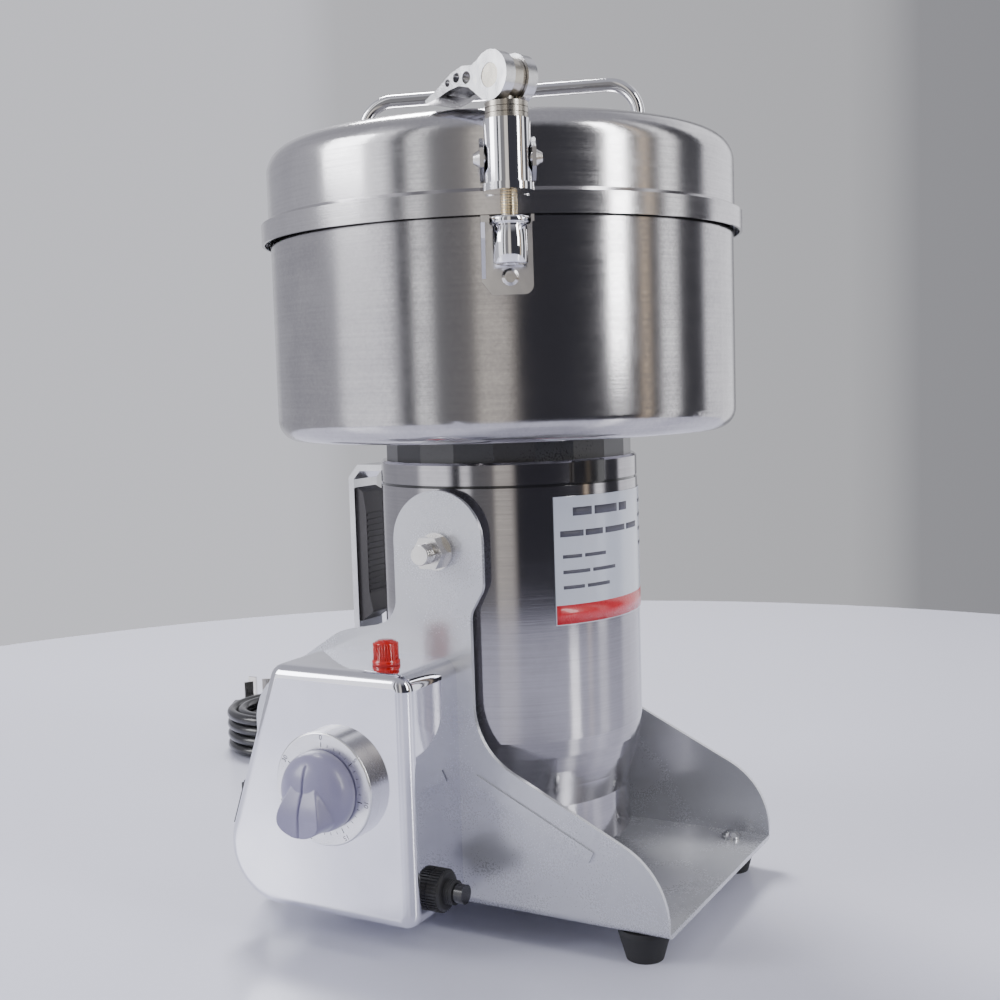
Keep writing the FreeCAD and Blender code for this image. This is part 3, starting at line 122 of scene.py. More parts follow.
def build_handled_surface():
    """Fine grain, large clouds and finger marks, for anything painted or moulded."""
    group, takes, gives = new_group(
        "handled surface",
        [
            ("Vector", "NodeSocketVector", None),
            ("Colour", "NodeSocketColor", (0.5, 0.5, 0.5, 1)),
            ("Worn Colour", "NodeSocketColor", (0.4, 0.4, 0.4, 1)),
            ("Grain Scale", "NodeSocketFloat", 900.0),
            ("Cloud Scale", "NodeSocketFloat", 22.0),
            ("Smooth", "NodeSocketFloat", 0.2),
            ("Rough", "NodeSocketFloat", 0.35),
        ],
        SURFACE_GIVES,
    )
    grain = noise(group, takes.outputs["Vector"], takes.outputs["Grain Scale"], 3.0)
    clouds = noise(group, takes.outputs["Vector"], takes.outputs["Cloud Scale"], 5.0)
    both = maths(group, "MULTIPLY_ADD", clouds, 0.7, maths(group, "MULTIPLY", grain, 0.3))
    mask = spread(group, both, 0.0, 1.0)
    colour = mixed_colour(
        group, mask, takes.outputs["Colour"], takes.outputs["Worn Colour"]
    )
    group.links.new(colour, gives.inputs["Colour"])
    rough = spread(group, both, takes.outputs["Smooth"], takes.outputs["Rough"])
    group.links.new(rough, gives.inputs["Roughness"])
    group.links.new(grain, gives.inputs["Height"])
    return group


HANDLED_SURFACE = build_handled_surface()


def empty_material(name):
    """A material with its Principled shader and its object coordinates."""
    material = bpy.data.materials.new(name)
    material.use_nodes = True
    tree = material.node_tree
    shader = tree.nodes["Principled BSDF"]
    place = tree.nodes.new("ShaderNodeTexCoord").outputs["Object"]
    return material, tree, shader, place


def raise_surface(tree, shader, height, strength, distance):
    """A Bump node between a height and the shader's normal."""
    bump = tree.nodes.new("ShaderNodeBump")
    bump.inputs["Strength"].default_value = strength
    bump.inputs["Distance"].default_value = distance
    tree.links.new(height, bump.inputs["Height"])
    tree.links.new(bump.outputs["Normal"], shader.inputs["Normal"])


def surface_nodes(tree, shader, place, surface, values):
    """A surface group read at place, set by name, feeding the shader's own sockets."""
    group = tree.nodes.new("ShaderNodeGroup")
    group.node_tree = surface
    tree.links.new(place, group.inputs["Vector"])
    for label, value in values.items():
        group.inputs[label].default_value = (*value, 1) if isinstance(value, tuple) else value
    tree.links.new(group.outputs["Colour"], shader.inputs["Base Color"])
    tree.links.new(group.outputs["Roughness"], shader.inputs["Roughness"])
    return group.outputs["Height"]


def handled_material(name, colour, worn, smooth, rough, grain, relief, clouds=22.0, **fixed):
    """A painted, moulded or cast finish; fixed sets the shader's own sockets."""
    material, tree, shader, place = empty_material(name)
    values = {
        "Colour": colour,
        "Worn Colour": worn,
        "Grain Scale": grain,
        "Cloud Scale": clouds,
        "Smooth": smooth,
        "Rough": rough,
    }
    height = surface_nodes(tree, shader, place, HANDLED_SURFACE, values)
    raise_surface(tree, shader, height, 0.5, relief)
    for label, value in fixed.items():
        shader.inputs[label.replace("_", " ")].default_value = value
    return material


def dress(material, *names):
    """Give CAD nodes their finish."""
    for name in names:
        mesh = nodes[name].data
        mesh.materials.clear()
        mesh.materials.append(material)


SILVER_LACQUER = handled_material(
    "silver lacquer",
    colour=(0.60, 0.61, 0.65),
    worn=(0.52, 0.53, 0.58),
    smooth=0.20,
    rough=0.32,
    grain=1400.0,
    relief=0.00004,
    Metallic=0.45,
    Coat_Weight=0.7,
    Coat_Roughness=0.09,
)
dress(SILVER_LACQUER, "base_channel")


# ---- Feet and base screws ------------------------------------------------------
# Four turned rubber feet, each held by a screw with a cap nut inside the base.
# The screws and nuts are zinc plated steel, slightly cloudy.

BLACK_RUBBER = handled_material(
    "black rubber",
    colour=(0.012, 0.012, 0.013),
    worn=(0.03, 0.03, 0.032),
    smooth=0.55,
    rough=0.8,
    grain=2600.0,
    relief=0.00008,
)
ZINC = handled_material(
    "zinc plate",
    colour=(0.70, 0.71, 0.73),
    worn=(0.50, 0.51, 0.52),
    smooth=0.16,
    rough=0.34,
    grain=3000.0,
    relief=0.00003,
    clouds=160.0,
    Metallic=1.0,
)
dress(BLACK_RUBBER, "rubber_feet")
dress(ZINC, "base_screws")


# ---- Control box ---------------------------------------------------------------
# A deep drawn steel cover, polished and chromed, screwed to the near side plate
# through lips inside it. Polishing leaves it very slightly wavy.


def build_polished_sheet():
    """Bright plate: faint waves, cloudy breath marks and hair scratches."""
    group, takes, gives = new_group(
        "polished sheet",
        [
            ("Vector", "NodeSocketVector", None),
            ("Colour", "NodeSocketColor", (0.8, 0.8, 0.8, 1)),
            ("Shade", "NodeSocketColor", (0.6, 0.6, 0.6, 1)),
            ("Wave Scale", "NodeSocketFloat", 9.0),
            ("Smooth", "NodeSocketFloat", 0.05),
            ("Rough", "NodeSocketFloat", 0.12),
        ],
        SURFACE_GIVES,
    )
    vector = takes.outputs["Vector"]
    waves = noise(group, vector, takes.outputs["Wave Scale"], 1.0)
    clouds = noise(group, vector, 45.0, 6.0)
    specks = noise(group, vector, 1900.0, 2.0)
    colour = mixed_colour(
        group,
        spread(group, clouds, 0.0, 1.0),
        takes.outputs["Colour"],
        takes.outputs["Shade"],
    )
    group.links.new(colour, gives.inputs["Colour"])
    rough = spread(
        group,
        maths(group, "MULTIPLY_ADD", specks, 0.4, maths(group, "MULTIPLY", clouds, 0.6)),
        takes.outputs["Smooth"],
        takes.outputs["Rough"],
    )
    group.links.new(rough, gives.inputs["Roughness"])
    height = maths(group, "MULTIPLY_ADD", specks, 0.012, waves)
    group.links.new(height, gives.inputs["Height"])
    return group


POLISHED_SHEET = build_polished_sheet()


def polished_material(name, colour, shade, smooth, rough, waves, relief):
    """Chrome or polished steel from the polished sheet group."""
    material, tree, shader, place = empty_material(name)
    values = {
        "Colour": colour,
        "Shade": shade,
        "Wave Scale": waves,
        "Smooth": smooth,
        "Rough": rough,
    }
    height = surface_nodes(tree, shader, place, POLISHED_SHEET, values)
    raise_surface(tree, shader, height, 0.4, relief)
    shader.inputs["Metallic"].default_value = 1.0
    return material


BOX_CHROME = polished_material(
    "box chrome",
    colour=(0.84, 0.84, 0.90),
    shade=(0.76, 0.76, 0.83),
    smooth=0.02,
    rough=0.06,
    waves=11.0,
    relief=0.0006,
)
dress(BOX_CHROME, "control_box")


# ---- Timer dial ----------------------------------------------------------------
# A turned ring with a satin face; its rim is bright. Ticks and minute numbers are
# printed on the face in dark ink, round the knob.

DIAL_CENTRE = Vector((-0.0303, AXIS_Y - 0.112, 0.0725))
DIAL_INNER = 0.0181
DIAL_OUTER = 0.0216
# Lays a flat piece made in X and Y on the dial's face, its Z towards the front.
ON_DIAL = Matrix.Translation(DIAL_CENTRE) @ Matrix(
    ((1, 0, 0, 0), (0, 0, -1, 0), (0, 1, 0, 0), (0, 0, 0, 1))
)

DIAL_METAL = polished_material(
    "dial ring metal",
    colour=(0.86, 0.86, 0.88),
    shade=(0.74, 0.74, 0.78),
    smooth=0.16,
    rough=0.30,
    waves=60.0,
    relief=0.00005,
)
DARK_INK = handled_material(
    "dark ink",
    colour=(0.05, 0.05, 0.07),
    worn=(0.10, 0.10, 0.13),
    smooth=0.4,
    rough=0.6,
    grain=4000.0,
    relief=0.00001,
)
dress(DIAL_METAL, "timer_dial")


def add_piece(name, mesh, material, body, place=None, smooth=True):
    """A finished piece: its mesh moved to its place, its object at the origin."""
    if place is not None:
        mesh.transform(place)
    mesh.materials.clear()
    mesh.materials.append(material)
    for face in mesh.polygons:
        face.use_smooth = smooth
    piece = bpy.data.objects.new(name, mesh)
    bpy.context.scene.collection.objects.link(piece)
    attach(piece, body)
    return piece


def mesh_of(corners, faces):
    """A mesh from corners and faces, its doubles merged and its faces outwards."""
    mesh = bpy.data.meshes.new("work")
    mesh.from_pydata(corners, [], faces)
    work = bmesh.new()
    work.from_mesh(mesh)
    bmesh.ops.remove_doubles(work, verts=work.verts, dist=1e-7)
    bmesh.ops.recalc_face_normals(work, faces=work.faces)
    work.to_mesh(mesh)
    work.free()
    return mesh


def slab(outline, low, high):
    """A flat outline in X and Y made into a slab between two heights."""
    count = len(outline)
    corners = [(x, y, low) for x, y in outline] + [(x, y, high) for x, y in outline]
    faces = [tuple(reversed(range(count))), tuple(range(count, 2 * count))]
    for index in range(count):
        after = (index + 1) % count
        faces.append((index, after, after + count, index + count))
    return mesh_of(corners, faces)


def geometry_tree(name, sockets):
    """A Geometry Nodes tree that takes named values, and its inputs."""
    tree = bpy.data.node_groups.new(name, "GeometryNodeTree")
    for label, kind in [("Geometry", "Geometry"), *sockets, ("Finish", "Material")]:
        tree.interface.new_socket(label, in_out="INPUT", socket_type="NodeSocket" + kind)
    tree.interface.new_socket("Geometry", in_out="OUTPUT", socket_type="NodeSocketGeometry")
    return tree, tree.nodes.new("NodeGroupInput").outputs


def end_tree(tree, takes, shape):
    """The end of each tree: real geometry, its material, and the output."""
    real = tree.nodes.new("GeometryNodeRealizeInstances")
    tree.links.new(shape, real.inputs[0])
    finish = tree.nodes.new("GeometryNodeSetMaterial")
    tree.links.new(real.outputs[0], finish.inputs["Geometry"])
    tree.links.new(takes["Finish"], finish.inputs["Material"])
    tree.links.new(finish.outputs[0], tree.nodes.new("NodeGroupOutput").inputs[0])
    return tree


def bar(half_long, half_wide, low, high):
    """A straight-sided slab, long in X, about the origin."""
    outline = [
        (-half_long, -half_wide),
        (half_long, -half_wide),
        (half_long, half_wide),
        (-half_long, half_wide),
    ]
    return slab(outline, low, high)


def build_ring_tree():
    """Geometry Nodes: one piece repeated at even angles round a ring."""
    tree, takes = geometry_tree(
        "pieces round a ring",
        [
            ("Piece", "Object"),
            ("Count", "Int"),
            ("Radius", "Float"),
            ("Start", "Float"),
            ("Step", "Float"),
        ],
    )
    points = tree.nodes.new("GeometryNodePoints")
    tree.links.new(takes["Count"], points.inputs["Count"])
    index = tree.nodes.new("GeometryNodeInputIndex").outputs[0]
    angle = maths(tree, "MULTIPLY_ADD", index, takes["Step"], takes["Start"])
    place = tree.nodes.new("ShaderNodeCombineXYZ")
    across = maths(tree, "MULTIPLY", maths(tree, "COSINE", angle), takes["Radius"])
    along = maths(tree, "MULTIPLY", maths(tree, "SINE", angle), takes["Radius"])
    tree.links.new(across, place.inputs["X"])
    tree.links.new(along, place.inputs["Y"])
    tree.links.new(place.outputs[0], points.inputs["Position"])
    turn = tree.nodes.new("ShaderNodeCombineXYZ")
    tree.links.new(angle, turn.inputs["Z"])
    rotation = tree.nodes.new("FunctionNodeEulerToRotation")
    tree.links.new(turn.outputs[0], rotation.inputs[0])
    piece = tree.nodes.new("GeometryNodeObjectInfo")
    tree.links.new(takes["Piece"], piece.inputs["Object"])
    copies = tree.nodes.new("GeometryNodeInstanceOnPoints")
    tree.links.new(points.outputs[0], copies.inputs["Points"])
    tree.links.new(piece.outputs["Geometry"], copies.inputs["Instance"])
    tree.links.new(rotation.outputs[0], copies.inputs["Rotation"])
    return end_tree(tree, takes, copies.outputs[0])


RING_TREE = build_ring_tree()


def taken_mesh(holder):
    """The plain mesh that an object makes; the object itself is removed."""
    bpy.context.view_layer.update()
    mesh = bpy.data.meshes.new_from_object(
        holder.evaluated_get(bpy.context.evaluated_depsgraph_get())
    )
    bpy.data.objects.remove(holder)
    return mesh


def grown_mesh(tree, values):
    """The plain mesh that a Geometry Nodes tree makes with these named values."""
    holder = bpy.data.objects.new("holder", bpy.data.meshes.new("holder"))
    bpy.context.scene.collection.objects.link(holder)
    modifier = holder.modifiers.new("grow", "NODES")
    modifier.node_group = tree
    for item in tree.interface.items_tree:
        if item.item_type == "SOCKET" and item.in_out == "INPUT" and item.name in values:
            modifier[item.identifier] = values[item.name]
    return taken_mesh(holder)


def ring_mesh(piece_mesh, count, radius, start, step, material):
    """Copies of a small mesh round a ring in the XY plane, as one mesh."""
    pattern = bpy.data.objects.new("pattern", piece_mesh)
    bpy.context.scene.collection.objects.link(pattern)
    grown = grown_mesh(
        RING_TREE,
        {
            "Piece": pattern,
            "Count": count,
            "Radius": radius,
            "Start": start,
            "Step": step,
            "Finish": material,
        },
    )
    bpy.data.objects.remove(pattern)
    return grown


def joined(meshes):
    """Several meshes as one."""
    work = bmesh.new()
    for mesh in meshes:
        work.from_mesh(mesh)
    whole = bpy.data.meshes.new("joined")
    work.to_mesh(whole)
    work.free()
    return whole


def text_mesh(words, size, depth):
    """Letters as a thin slab, centred on the origin."""
    curve = bpy.data.curves.new("letters", "FONT")
    curve.body = words
    curve.size = size
    curve.extrude = depth
    curve.align_x = "CENTER"
    curve.align_y = "CENTER"
    holder = bpy.data.objects.new("letters", curve)
    bpy.context.scene.collection.objects.link(holder)
    return taken_mesh(holder)


INK_LIFT = 0.00003
TICK_STEP = radians(-300 / 30)
TICK_START = radians(90)
short_tick = bar(0.0006, 0.00011, -INK_LIFT, INK_LIFT)
long_tick = bar(0.0011, 0.00018, -INK_LIFT, INK_LIFT)
ticks = joined(
    [
        ring_mesh(short_tick, 31, DIAL_INNER + 0.0004, TICK_START, TICK_STEP, DARK_INK),
        ring_mesh(long_tick, 7, DIAL_INNER + 0.0005, TICK_START, TICK_STEP * 5, DARK_INK),
    ]
)
add_piece("dial_ticks", ticks, DARK_INK, "base", ON_DIAL, smooth=False)

figures = []
for step in range(7):
    angle = TICK_START + TICK_STEP * 5 * step
    figure = text_mesh(str(5 * step), 0.0030, INK_LIFT)
    spot = Matrix.Translation((cos(angle) * DIAL_OUTER, sin(angle) * DIAL_OUTER, 0))
    figure.transform(spot @ Matrix.Rotation(angle - pi / 2, 4, "Z"))
    figures.append(figure)
add_piece("dial_numbers", joined(figures), DARK_INK, "base", ON_DIAL, smooth=False)


# ---- Timer knob ----------------------------------------------------------------
# Moulded in pale violet-grey plastic: a low dome with a raised wing to hold, and a
# groove along the wing's crown that points at the minutes. It pushes on to a shaft.

KNOB_RADIUS = 0.0168
KNOB_BACK = 0.0004
KNOB_RINGS = 72
KNOB_SECTORS = 168


def eased(value, low, high):
    """0 below low, 1 above high, smooth between."""
    share = min(max((value - low) / (high - low), 0.0), 1.0)
    return share * share * (3 - 2 * share)


def wing_half_width(along):
    """Half the wing's width at a height along it: a pointed arch, rounded below."""
    share = min(max((0.0132 - along) / 0.0286, 0.0), 1.0)
    rise = 1 - max(1 - share / 0.76, 0.0) ** 1.65
    fall = sqrt(1 - max((share - 0.76) / 0.24, 0.0) ** 2)
    return 0.0114 * rise * fall


def knob_height(x, y):
    """How far the knob's face stands out at a point."""
    out = hypot(x, y) / KNOB_RADIUS
    dome = 0.0030 + 0.0110 * sqrt(max(1 - out ** 2.2, 0.0))
    wing = eased(wing_half_width(y) - abs(x), -0.0002, 0.0012)
    crown = 0.0102 + 0.0072 * eased(0.0132 - y, 0.0, 0.0210) + 6.0 * x * x
    groove = 0.0008 * exp(-((x / 0.00040) ** 2))
    return dome + wing * (max(crown - dome, 0.0) - groove)


def knob_mesh():
    corners = [(0, 0, knob_height(0, 0))]
    faces = []
    for ring in range(1, KNOB_RINGS + 1):
        radius = KNOB_RADIUS * sin(pi / 2 * ring / KNOB_RINGS) ** 0.92
        for sector in range(KNOB_SECTORS):
            angle = 2 * pi * sector / KNOB_SECTORS
            x = radius * cos(angle)
            y = radius * sin(angle)
            corners.append((x, y, knob_height(x, y)))
    for depth in (0.0030, 0.0008, KNOB_BACK):
        radius = KNOB_RADIUS - (0.0004 if depth == KNOB_BACK else 0.0)
        for sector in range(KNOB_SECTORS):
            angle = 2 * pi * sector / KNOB_SECTORS
            corners.append((radius * cos(angle), radius * sin(angle), depth))
    corners.append((0, 0, KNOB_BACK))
    for sector in range(KNOB_SECTORS):
        after = (sector + 1) % KNOB_SECTORS
        faces.append((0, 1 + sector, 1 + after))
        for ring in range(KNOB_RINGS + 2):
            inner = 1 + ring * KNOB_SECTORS
            outer = inner + KNOB_SECTORS
            faces.append((inner + sector, outer + sector, outer + after, inner + after))
        last = 1 + (KNOB_RINGS + 2) * KNOB_SECTORS
        faces.append((last + sector, len(corners) - 1, last + after))
    return mesh_of(corners, faces)


KNOB_PLASTIC = handled_material(
    "violet grey plastic",
    colour=(0.235, 0.225, 0.345),
    worn=(0.29, 0.28, 0.42),
    smooth=0.26,
    rough=0.38,
    grain=2200.0,
    relief=0.00005,
    Coat_Weight=0.25,
    Coat_Roughness=0.2,
)
knob = add_piece("minute_knob", knob_mesh(), KNOB_PLASTIC, "timer_control", ON_DIAL)
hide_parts("timer_knob")


# ---- Indicator lamp ------------------------------------------------------------
# A neon lamp in a translucent red lens with moulded ribs round its side and a flat,
# slightly raised top. It presses into a hole in the box's top.

LAMP_PLACE = Matrix.Translation((-0.0142, AXIS_Y - 0.086, 0.1206))
LAMP_RADIUS = 0.0052
LAMP_TALL = 0.0102


def lathe(profile, sectors=96):
    """A turned solid from (radius, height) pairs that start and end on the axis."""
    corners = []
    rings = []
    for radius, height in profile:
        if radius < 1e-9:
            rings.append([len(corners)] * sectors)
            corners.append((0, 0, height))
            continue
        first = len(corners)
        rings.append([first + sector for sector in range(sectors)])
        for sector in range(sectors):
            angle = 2 * pi * sector / sectors
            corners.append((radius * cos(angle), radius * sin(angle), height))
    faces = []
    for lower, upper in zip(rings, rings[1:]):
        for sector in range(sectors):
            after = (sector + 1) % sectors
            face = []
            for corner in (lower[sector], lower[after], upper[after], upper[sector]):
                if corner not in face:
                    face.append(corner)
            if len(face) > 2:
                faces.append(face)
    return mesh_of(corners, faces)


RED_LENS = handled_material(
    "red lens",
    colour=(0.80, 0.015, 0.010),
    worn=(0.62, 0.010, 0.010),
    smooth=0.10,
    rough=0.24,
    grain=1500.0,
    relief=0.00004,
    Transmission_Weight=0.25,
    IOR=1.49,
    Coat_Weight=0.4,
)
lens_core = lathe(
    [
        (0, -0.018),
        (0.0044, -0.018),
        (0.0044, 0.0),
        (LAMP_RADIUS + 0.0007, 0.0),
        (LAMP_RADIUS + 0.0007, 0.0018),
        (LAMP_RADIUS, 0.0022),
        (LAMP_RADIUS - 0.0003, LAMP_TALL - 0.0013),
        (LAMP_RADIUS - 0.0009, LAMP_TALL - 0.0005),
        (LAMP_RADIUS - 0.0018, LAMP_TALL - 0.0004),
        (LAMP_RADIUS - 0.0020, LAMP_TALL),
        (0, LAMP_TALL),
    ]
)
lens_rib = slab(
    [(-0.0009, -0.00034), (0.00025, -0.00020), (0.00025, 0.00020), (-0.0009, 0.00034)],
    0.0019,
    LAMP_TALL - 0.0012,
)
lens_ribs = ring_mesh(lens_rib, 30, LAMP_RADIUS - 0.0001, 0.0, 2 * pi / 30, RED_LENS)
lens = add_piece("lamp_lens", joined([lens_core, lens_ribs]), RED_LENS, "base", LAMP_PLACE)
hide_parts("indicator_lamp")


# ---- Overload protector --------------------------------------------------------
# A black moulded protector behind the box's side. Its threaded barrel comes
# through the wall, a knurled nut holds it, and its button stands out of the middle.

OVERLOAD_Y = AXIS_Y - 0.088
OVERLOAD_Z = 0.028
# Lays a piece made along Z on the protector's axis, which runs along X.
ON_SIDE = Matrix.Translation((0.00745, OVERLOAD_Y, OVERLOAD_Z)) @ Matrix(
    ((0, 0, 1, 0), (0, 1, 0, 0), (-1, 0, 0, 0), (0, 0, 0, 1))
)

BLACK_MOULDING = handled_material(
    "black moulding",
    colour=(0.016, 0.016, 0.018),
    worn=(0.035, 0.035, 0.038),
    smooth=0.32,
    rough=0.5,
    grain=1800.0,
    relief=0.00006,
)
GLOSS_BLACK = handled_material(
    "gloss black moulding",
    colour=(0.010, 0.010, 0.012),
    worn=(0.022, 0.022, 0.025),
    smooth=0.12,
    rough=0.24,
    grain=1500.0,
    relief=0.00003,
    Coat_Weight=0.4,
)
dress(BLACK_MOULDING, "overload_body", "motor_bottom_cap")
dress(GLOSS_BLACK, "reset_button")


def build_thread_tree():
    """Geometry Nodes: a screw thread's ridge, wound round the Z axis."""
    tree, takes = geometry_tree(
        "screw thread",
        [("Turns", "Float"), ("Radius", "Float"), ("Length", "Float"), ("Ridge", "Float")],
    )
    spiral = tree.nodes.new("GeometryNodeCurveSpiral")
    spiral.inputs["Resolution"].default_value = 36
    tree.links.new(takes["Turns"], spiral.inputs["Rotations"])
    tree.links.new(takes["Radius"], spiral.inputs["Start Radius"])
    tree.links.new(takes["Radius"], spiral.inputs["End Radius"])
    tree.links.new(takes["Length"], spiral.inputs["Height"])
    ridge = tree.nodes.new("GeometryNodeCurvePrimitiveCircle")
    ridge.inputs["Resolution"].default_value = 4
    tree.links.new(takes["Ridge"], ridge.inputs["Radius"])
    sweep = tree.nodes.new("GeometryNodeCurveToMesh")
    sweep.inputs["Fill Caps"].default_value = True
    tree.links.new(spiral.outputs[0], sweep.inputs["Curve"])
    tree.links.new(ridge.outputs[0], sweep.inputs["Profile Curve"])
    return end_tree(tree, takes, sweep.outputs[0])


THREAD_TREE = build_thread_tree()


def thread_mesh(radius, length, pitch, material):
    """A thread's ridge on a shank of that radius, from z = 0 to length."""
    return grown_mesh(
        THREAD_TREE,
        {
            "Turns": length / pitch,
            "Radius": radius,
            "Length": length,
            "Ridge": pitch * 0.42,
            "Finish": material,
        },
    )


knurl_tooth = slab(
    [(-0.0012, -0.00062), (0.00045, -0.00018), (0.00045, 0.00018), (-0.0012, 0.00062)],
    0.0003,
    0.0049,
)
knurled_nut = joined(
    [
        lathe(
            [
                (0.00505, 0.0),
                (0.0085, 0.0),
                (0.0085, 0.0045),
                (0.0078, 0.0058),
                (0.0072, 0.0060),
                (0.00505, 0.0060),
                (0.00505, 0.0),
            ]
        ),
        ring_mesh(knurl_tooth, 40, 0.00855, 0.0, 2 * pi / 40, BLACK_MOULDING),
    ]
)
nut = add_piece("overload_knurled_nut", knurled_nut, BLACK_MOULDING, "base", ON_SIDE, smooth=False)
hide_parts("overload_nut")
barrel_thread = thread_mesh(0.0048, 0.0036, 0.0010, BLACK_MOULDING)
barrel_thread.transform(Matrix.Translation((0, 0, 0.0061)))
add_piece("overload_thread", barrel_thread, BLACK_MOULDING, "base", ON_SIDE)


# ---- Power switch --------------------------------------------------------------
# A black snap-in housing in the slanted wall, and a glossy rocker with a moulded
# bar and ring for on and off.

SWITCH_SPOT = Vector((-0.08391, AXIS_Y - 0.0915, 0.056))
# The slanted wall's own frame: X up along the wall, Y across it, Z out of it.
ON_SLANT = Matrix.Translation(SWITCH_SPOT) @ Matrix(
    ((0.334, 0, -0.9425, 0), (0, 1, 0, 0), (0.9425, 0, 0.334, 0), (0, 0, 0, 1))
)

dress(BLACK_MOULDING, "switch_housing")
dress(GLOSS_BLACK, "switch_rocker")
WHITE_INK = handled_material(
    "white ink",
    colour=(0.75, 0.75, 0.76),
    worn=(0.6, 0.6, 0.62),
    smooth=0.4,
    rough=0.6,
    grain=3000.0,
    relief=0.00001,
)
on_bar = bar(0.0014, 0.00025, -0.00004, 0.00005)
on_bar.transform(Matrix.Translation((0.0042, 0, 0.00345)) @ Matrix.Rotation(-0.3527, 4, "Y"))
off_ring = lathe(
    [
        (0.0010, -0.00004),
        (0.0014, -0.00004),
        (0.0014, 0.00005),
        (0.0010, 0.00005),
        (0.0010, -0.00004),
    ],
    40,
)
off_ring.transform(Matrix.Translation((-0.0042, 0, 0.00122)) @ Matrix.Rotation(-0.161, 4, "Y"))
add_piece("rocker_marks", joined([on_bar, off_ring]), WHITE_INK, "rocker", ON_SLANT, smooth=False)


# ---- Timer clockwork -----------------------------------------------------------
# The spring-driven timer is a moulded ivory drum behind the dial.

IVORY_MOULDING = handled_material(
    "ivory moulding",
    colour=(0.62, 0.60, 0.53),
    worn=(0.54, 0.52, 0.45),
    smooth=0.35,
    rough=0.5,
    grain=1800.0,
    relief=0.00005,
)
dress(IVORY_MOULDING, "timer_body")


# ---- Pivots --------------------------------------------------------------------
# M8 studs welded to bosses on the motor's tube pass through the base's ears, each
# with a washer and a nut. They are nickel plated; the studs' ends show their thread.

NICKEL = polished_material(
    "nickel plate",
    colour=(0.74, 0.73, 0.72),
    shade=(0.58, 0.57, 0.56),
    smooth=0.14,
    rough=0.28,
    waves=240.0,
    relief=0.00008,
)
dress(NICKEL, "pivot_trunnions", "pivot_nuts", "hinge_pin")

PIVOT_HIGH = 0.1658
stud_threads = []
for side in (-1, 1):
    ridge = thread_mesh(0.00385, 0.0058, 0.00125, NICKEL)
    ridge.transform(Matrix.Translation((0, 0, 0.0739)))
    turn = Matrix.Rotation(-side * pi / 2, 4, "X")
    ridge.transform(Matrix.Translation((0, AXIS_Y, PIVOT_HIGH)) @ turn)
    stud_threads.append(ridge)
add_piece("stud_threads", joined(stud_threads), NICKEL, "motor")


# ---- Motor tube ----------------------------------------------------------------
# A drawn stainless tube, drawn in at its lower end over the motor's bracket, with a
# moulded cap below. It is brushed round and then polished, so it shows fine rings.


def build_brushed_steel():
    """Steel brushed round an upright axis: fine rings, smears and small dents."""
    group, takes, gives = new_group(
        "brushed round",
        [
            ("Vector", "NodeSocketVector", None),
            ("Colour", "NodeSocketColor", (0.6, 0.6, 0.6, 1)),
            ("Shade", "NodeSocketColor", (0.4, 0.4, 0.4, 1)),
            ("Rings", "NodeSocketFloat", 900.0),
            ("Smooth", "NodeSocketFloat", 0.1),
            ("Rough", "NodeSocketFloat", 0.25),
            ("Mottle", "NodeSocketFloat", 0.3),
        ],
        SURFACE_GIVES,
    )
    vector = takes.outputs["Vector"]
    parts = group.nodes.new("ShaderNodeSeparateXYZ")
    group.links.new(vector, parts.inputs[0])
    across, along, up = parts.outputs
    squares = maths(group, "MULTIPLY_ADD", across, across, maths(group, "MULTIPLY", along, along))
    out = maths(group, "SQRT", squares)
    rings = group.nodes.new("ShaderNodeTexNoise")
    rings.noise_dimensions = "4D"
    rings.inputs["Scale"].default_value = 1.0
    rings.inputs["Detail"].default_value = 4.0
    rings.inputs["Roughness"].default_value = 0.7
    where = group.nodes.new("ShaderNodeCombineXYZ")
    group.links.new(maths(group, "MULTIPLY", across, 18.0), where.inputs["X"])
    group.links.new(maths(group, "MULTIPLY", along, 18.0), where.inputs["Y"])
    group.links.new(maths(group, "MULTIPLY", up, takes.outputs["Rings"]), where.inputs["Z"])
    group.links.new(where.outputs[0], rings.inputs["Vector"])
    group.links.new(maths(group, "MULTIPLY", out, takes.outputs["Rings"]), rings.inputs["W"])
    smears = noise(group, vector, 34.0, 7.0, 0.65)
    specks = noise(group, vector, 700.0, 3.0, 0.6)
    mottle = takes.outputs["Mottle"]
    fine = maths(
        group,
        "MULTIPLY_ADD",
        rings.outputs["Fac"],
        maths(group, "SUBTRACT", 1.0, mottle),
        maths(group, "MULTIPLY", specks, mottle),
    )
    both = maths(group, "MULTIPLY_ADD", smears, 0.45, maths(group, "MULTIPLY", fine, 0.55))
    colour = mixed_colour(
        group, spread(group, both, 0.0, 1.0), takes.outputs["Colour"], takes.outputs["Shade"]
    )
    group.links.new(colour, gives.inputs["Colour"])
    rough = spread(group, both, takes.outputs["Smooth"], takes.outputs["Rough"])
    group.links.new(rough, gives.inputs["Roughness"])
    group.links.new(fine, gives.inputs["Height"])
    return group


BRUSHED_ROUND = build_brushed_steel()


def brushed_material(name, colour, shade, smooth, rough, rings, mottle, relief):
    """Spun or drawn stainless; a Mapping node centres the rings on the motor's axis."""
    material, tree, shader, place = empty_material(name)
    centred = tree.nodes.new("ShaderNodeMapping")
    centred.inputs["Location"].default_value = (0, -AXIS_Y, 0)
    tree.links.new(place, centred.inputs["Vector"])
    values = {
        "Colour": colour,
        "Shade": shade,
        "Rings": rings,
        "Smooth": smooth,
        "Rough": rough,
        "Mottle": mottle,
    }
    height = surface_nodes(tree, shader, centred.outputs[0], BRUSHED_ROUND, values)
    raise_surface(tree, shader, height, 0.35, relief)
    shader.inputs["Metallic"].default_value = 1.0
    return material


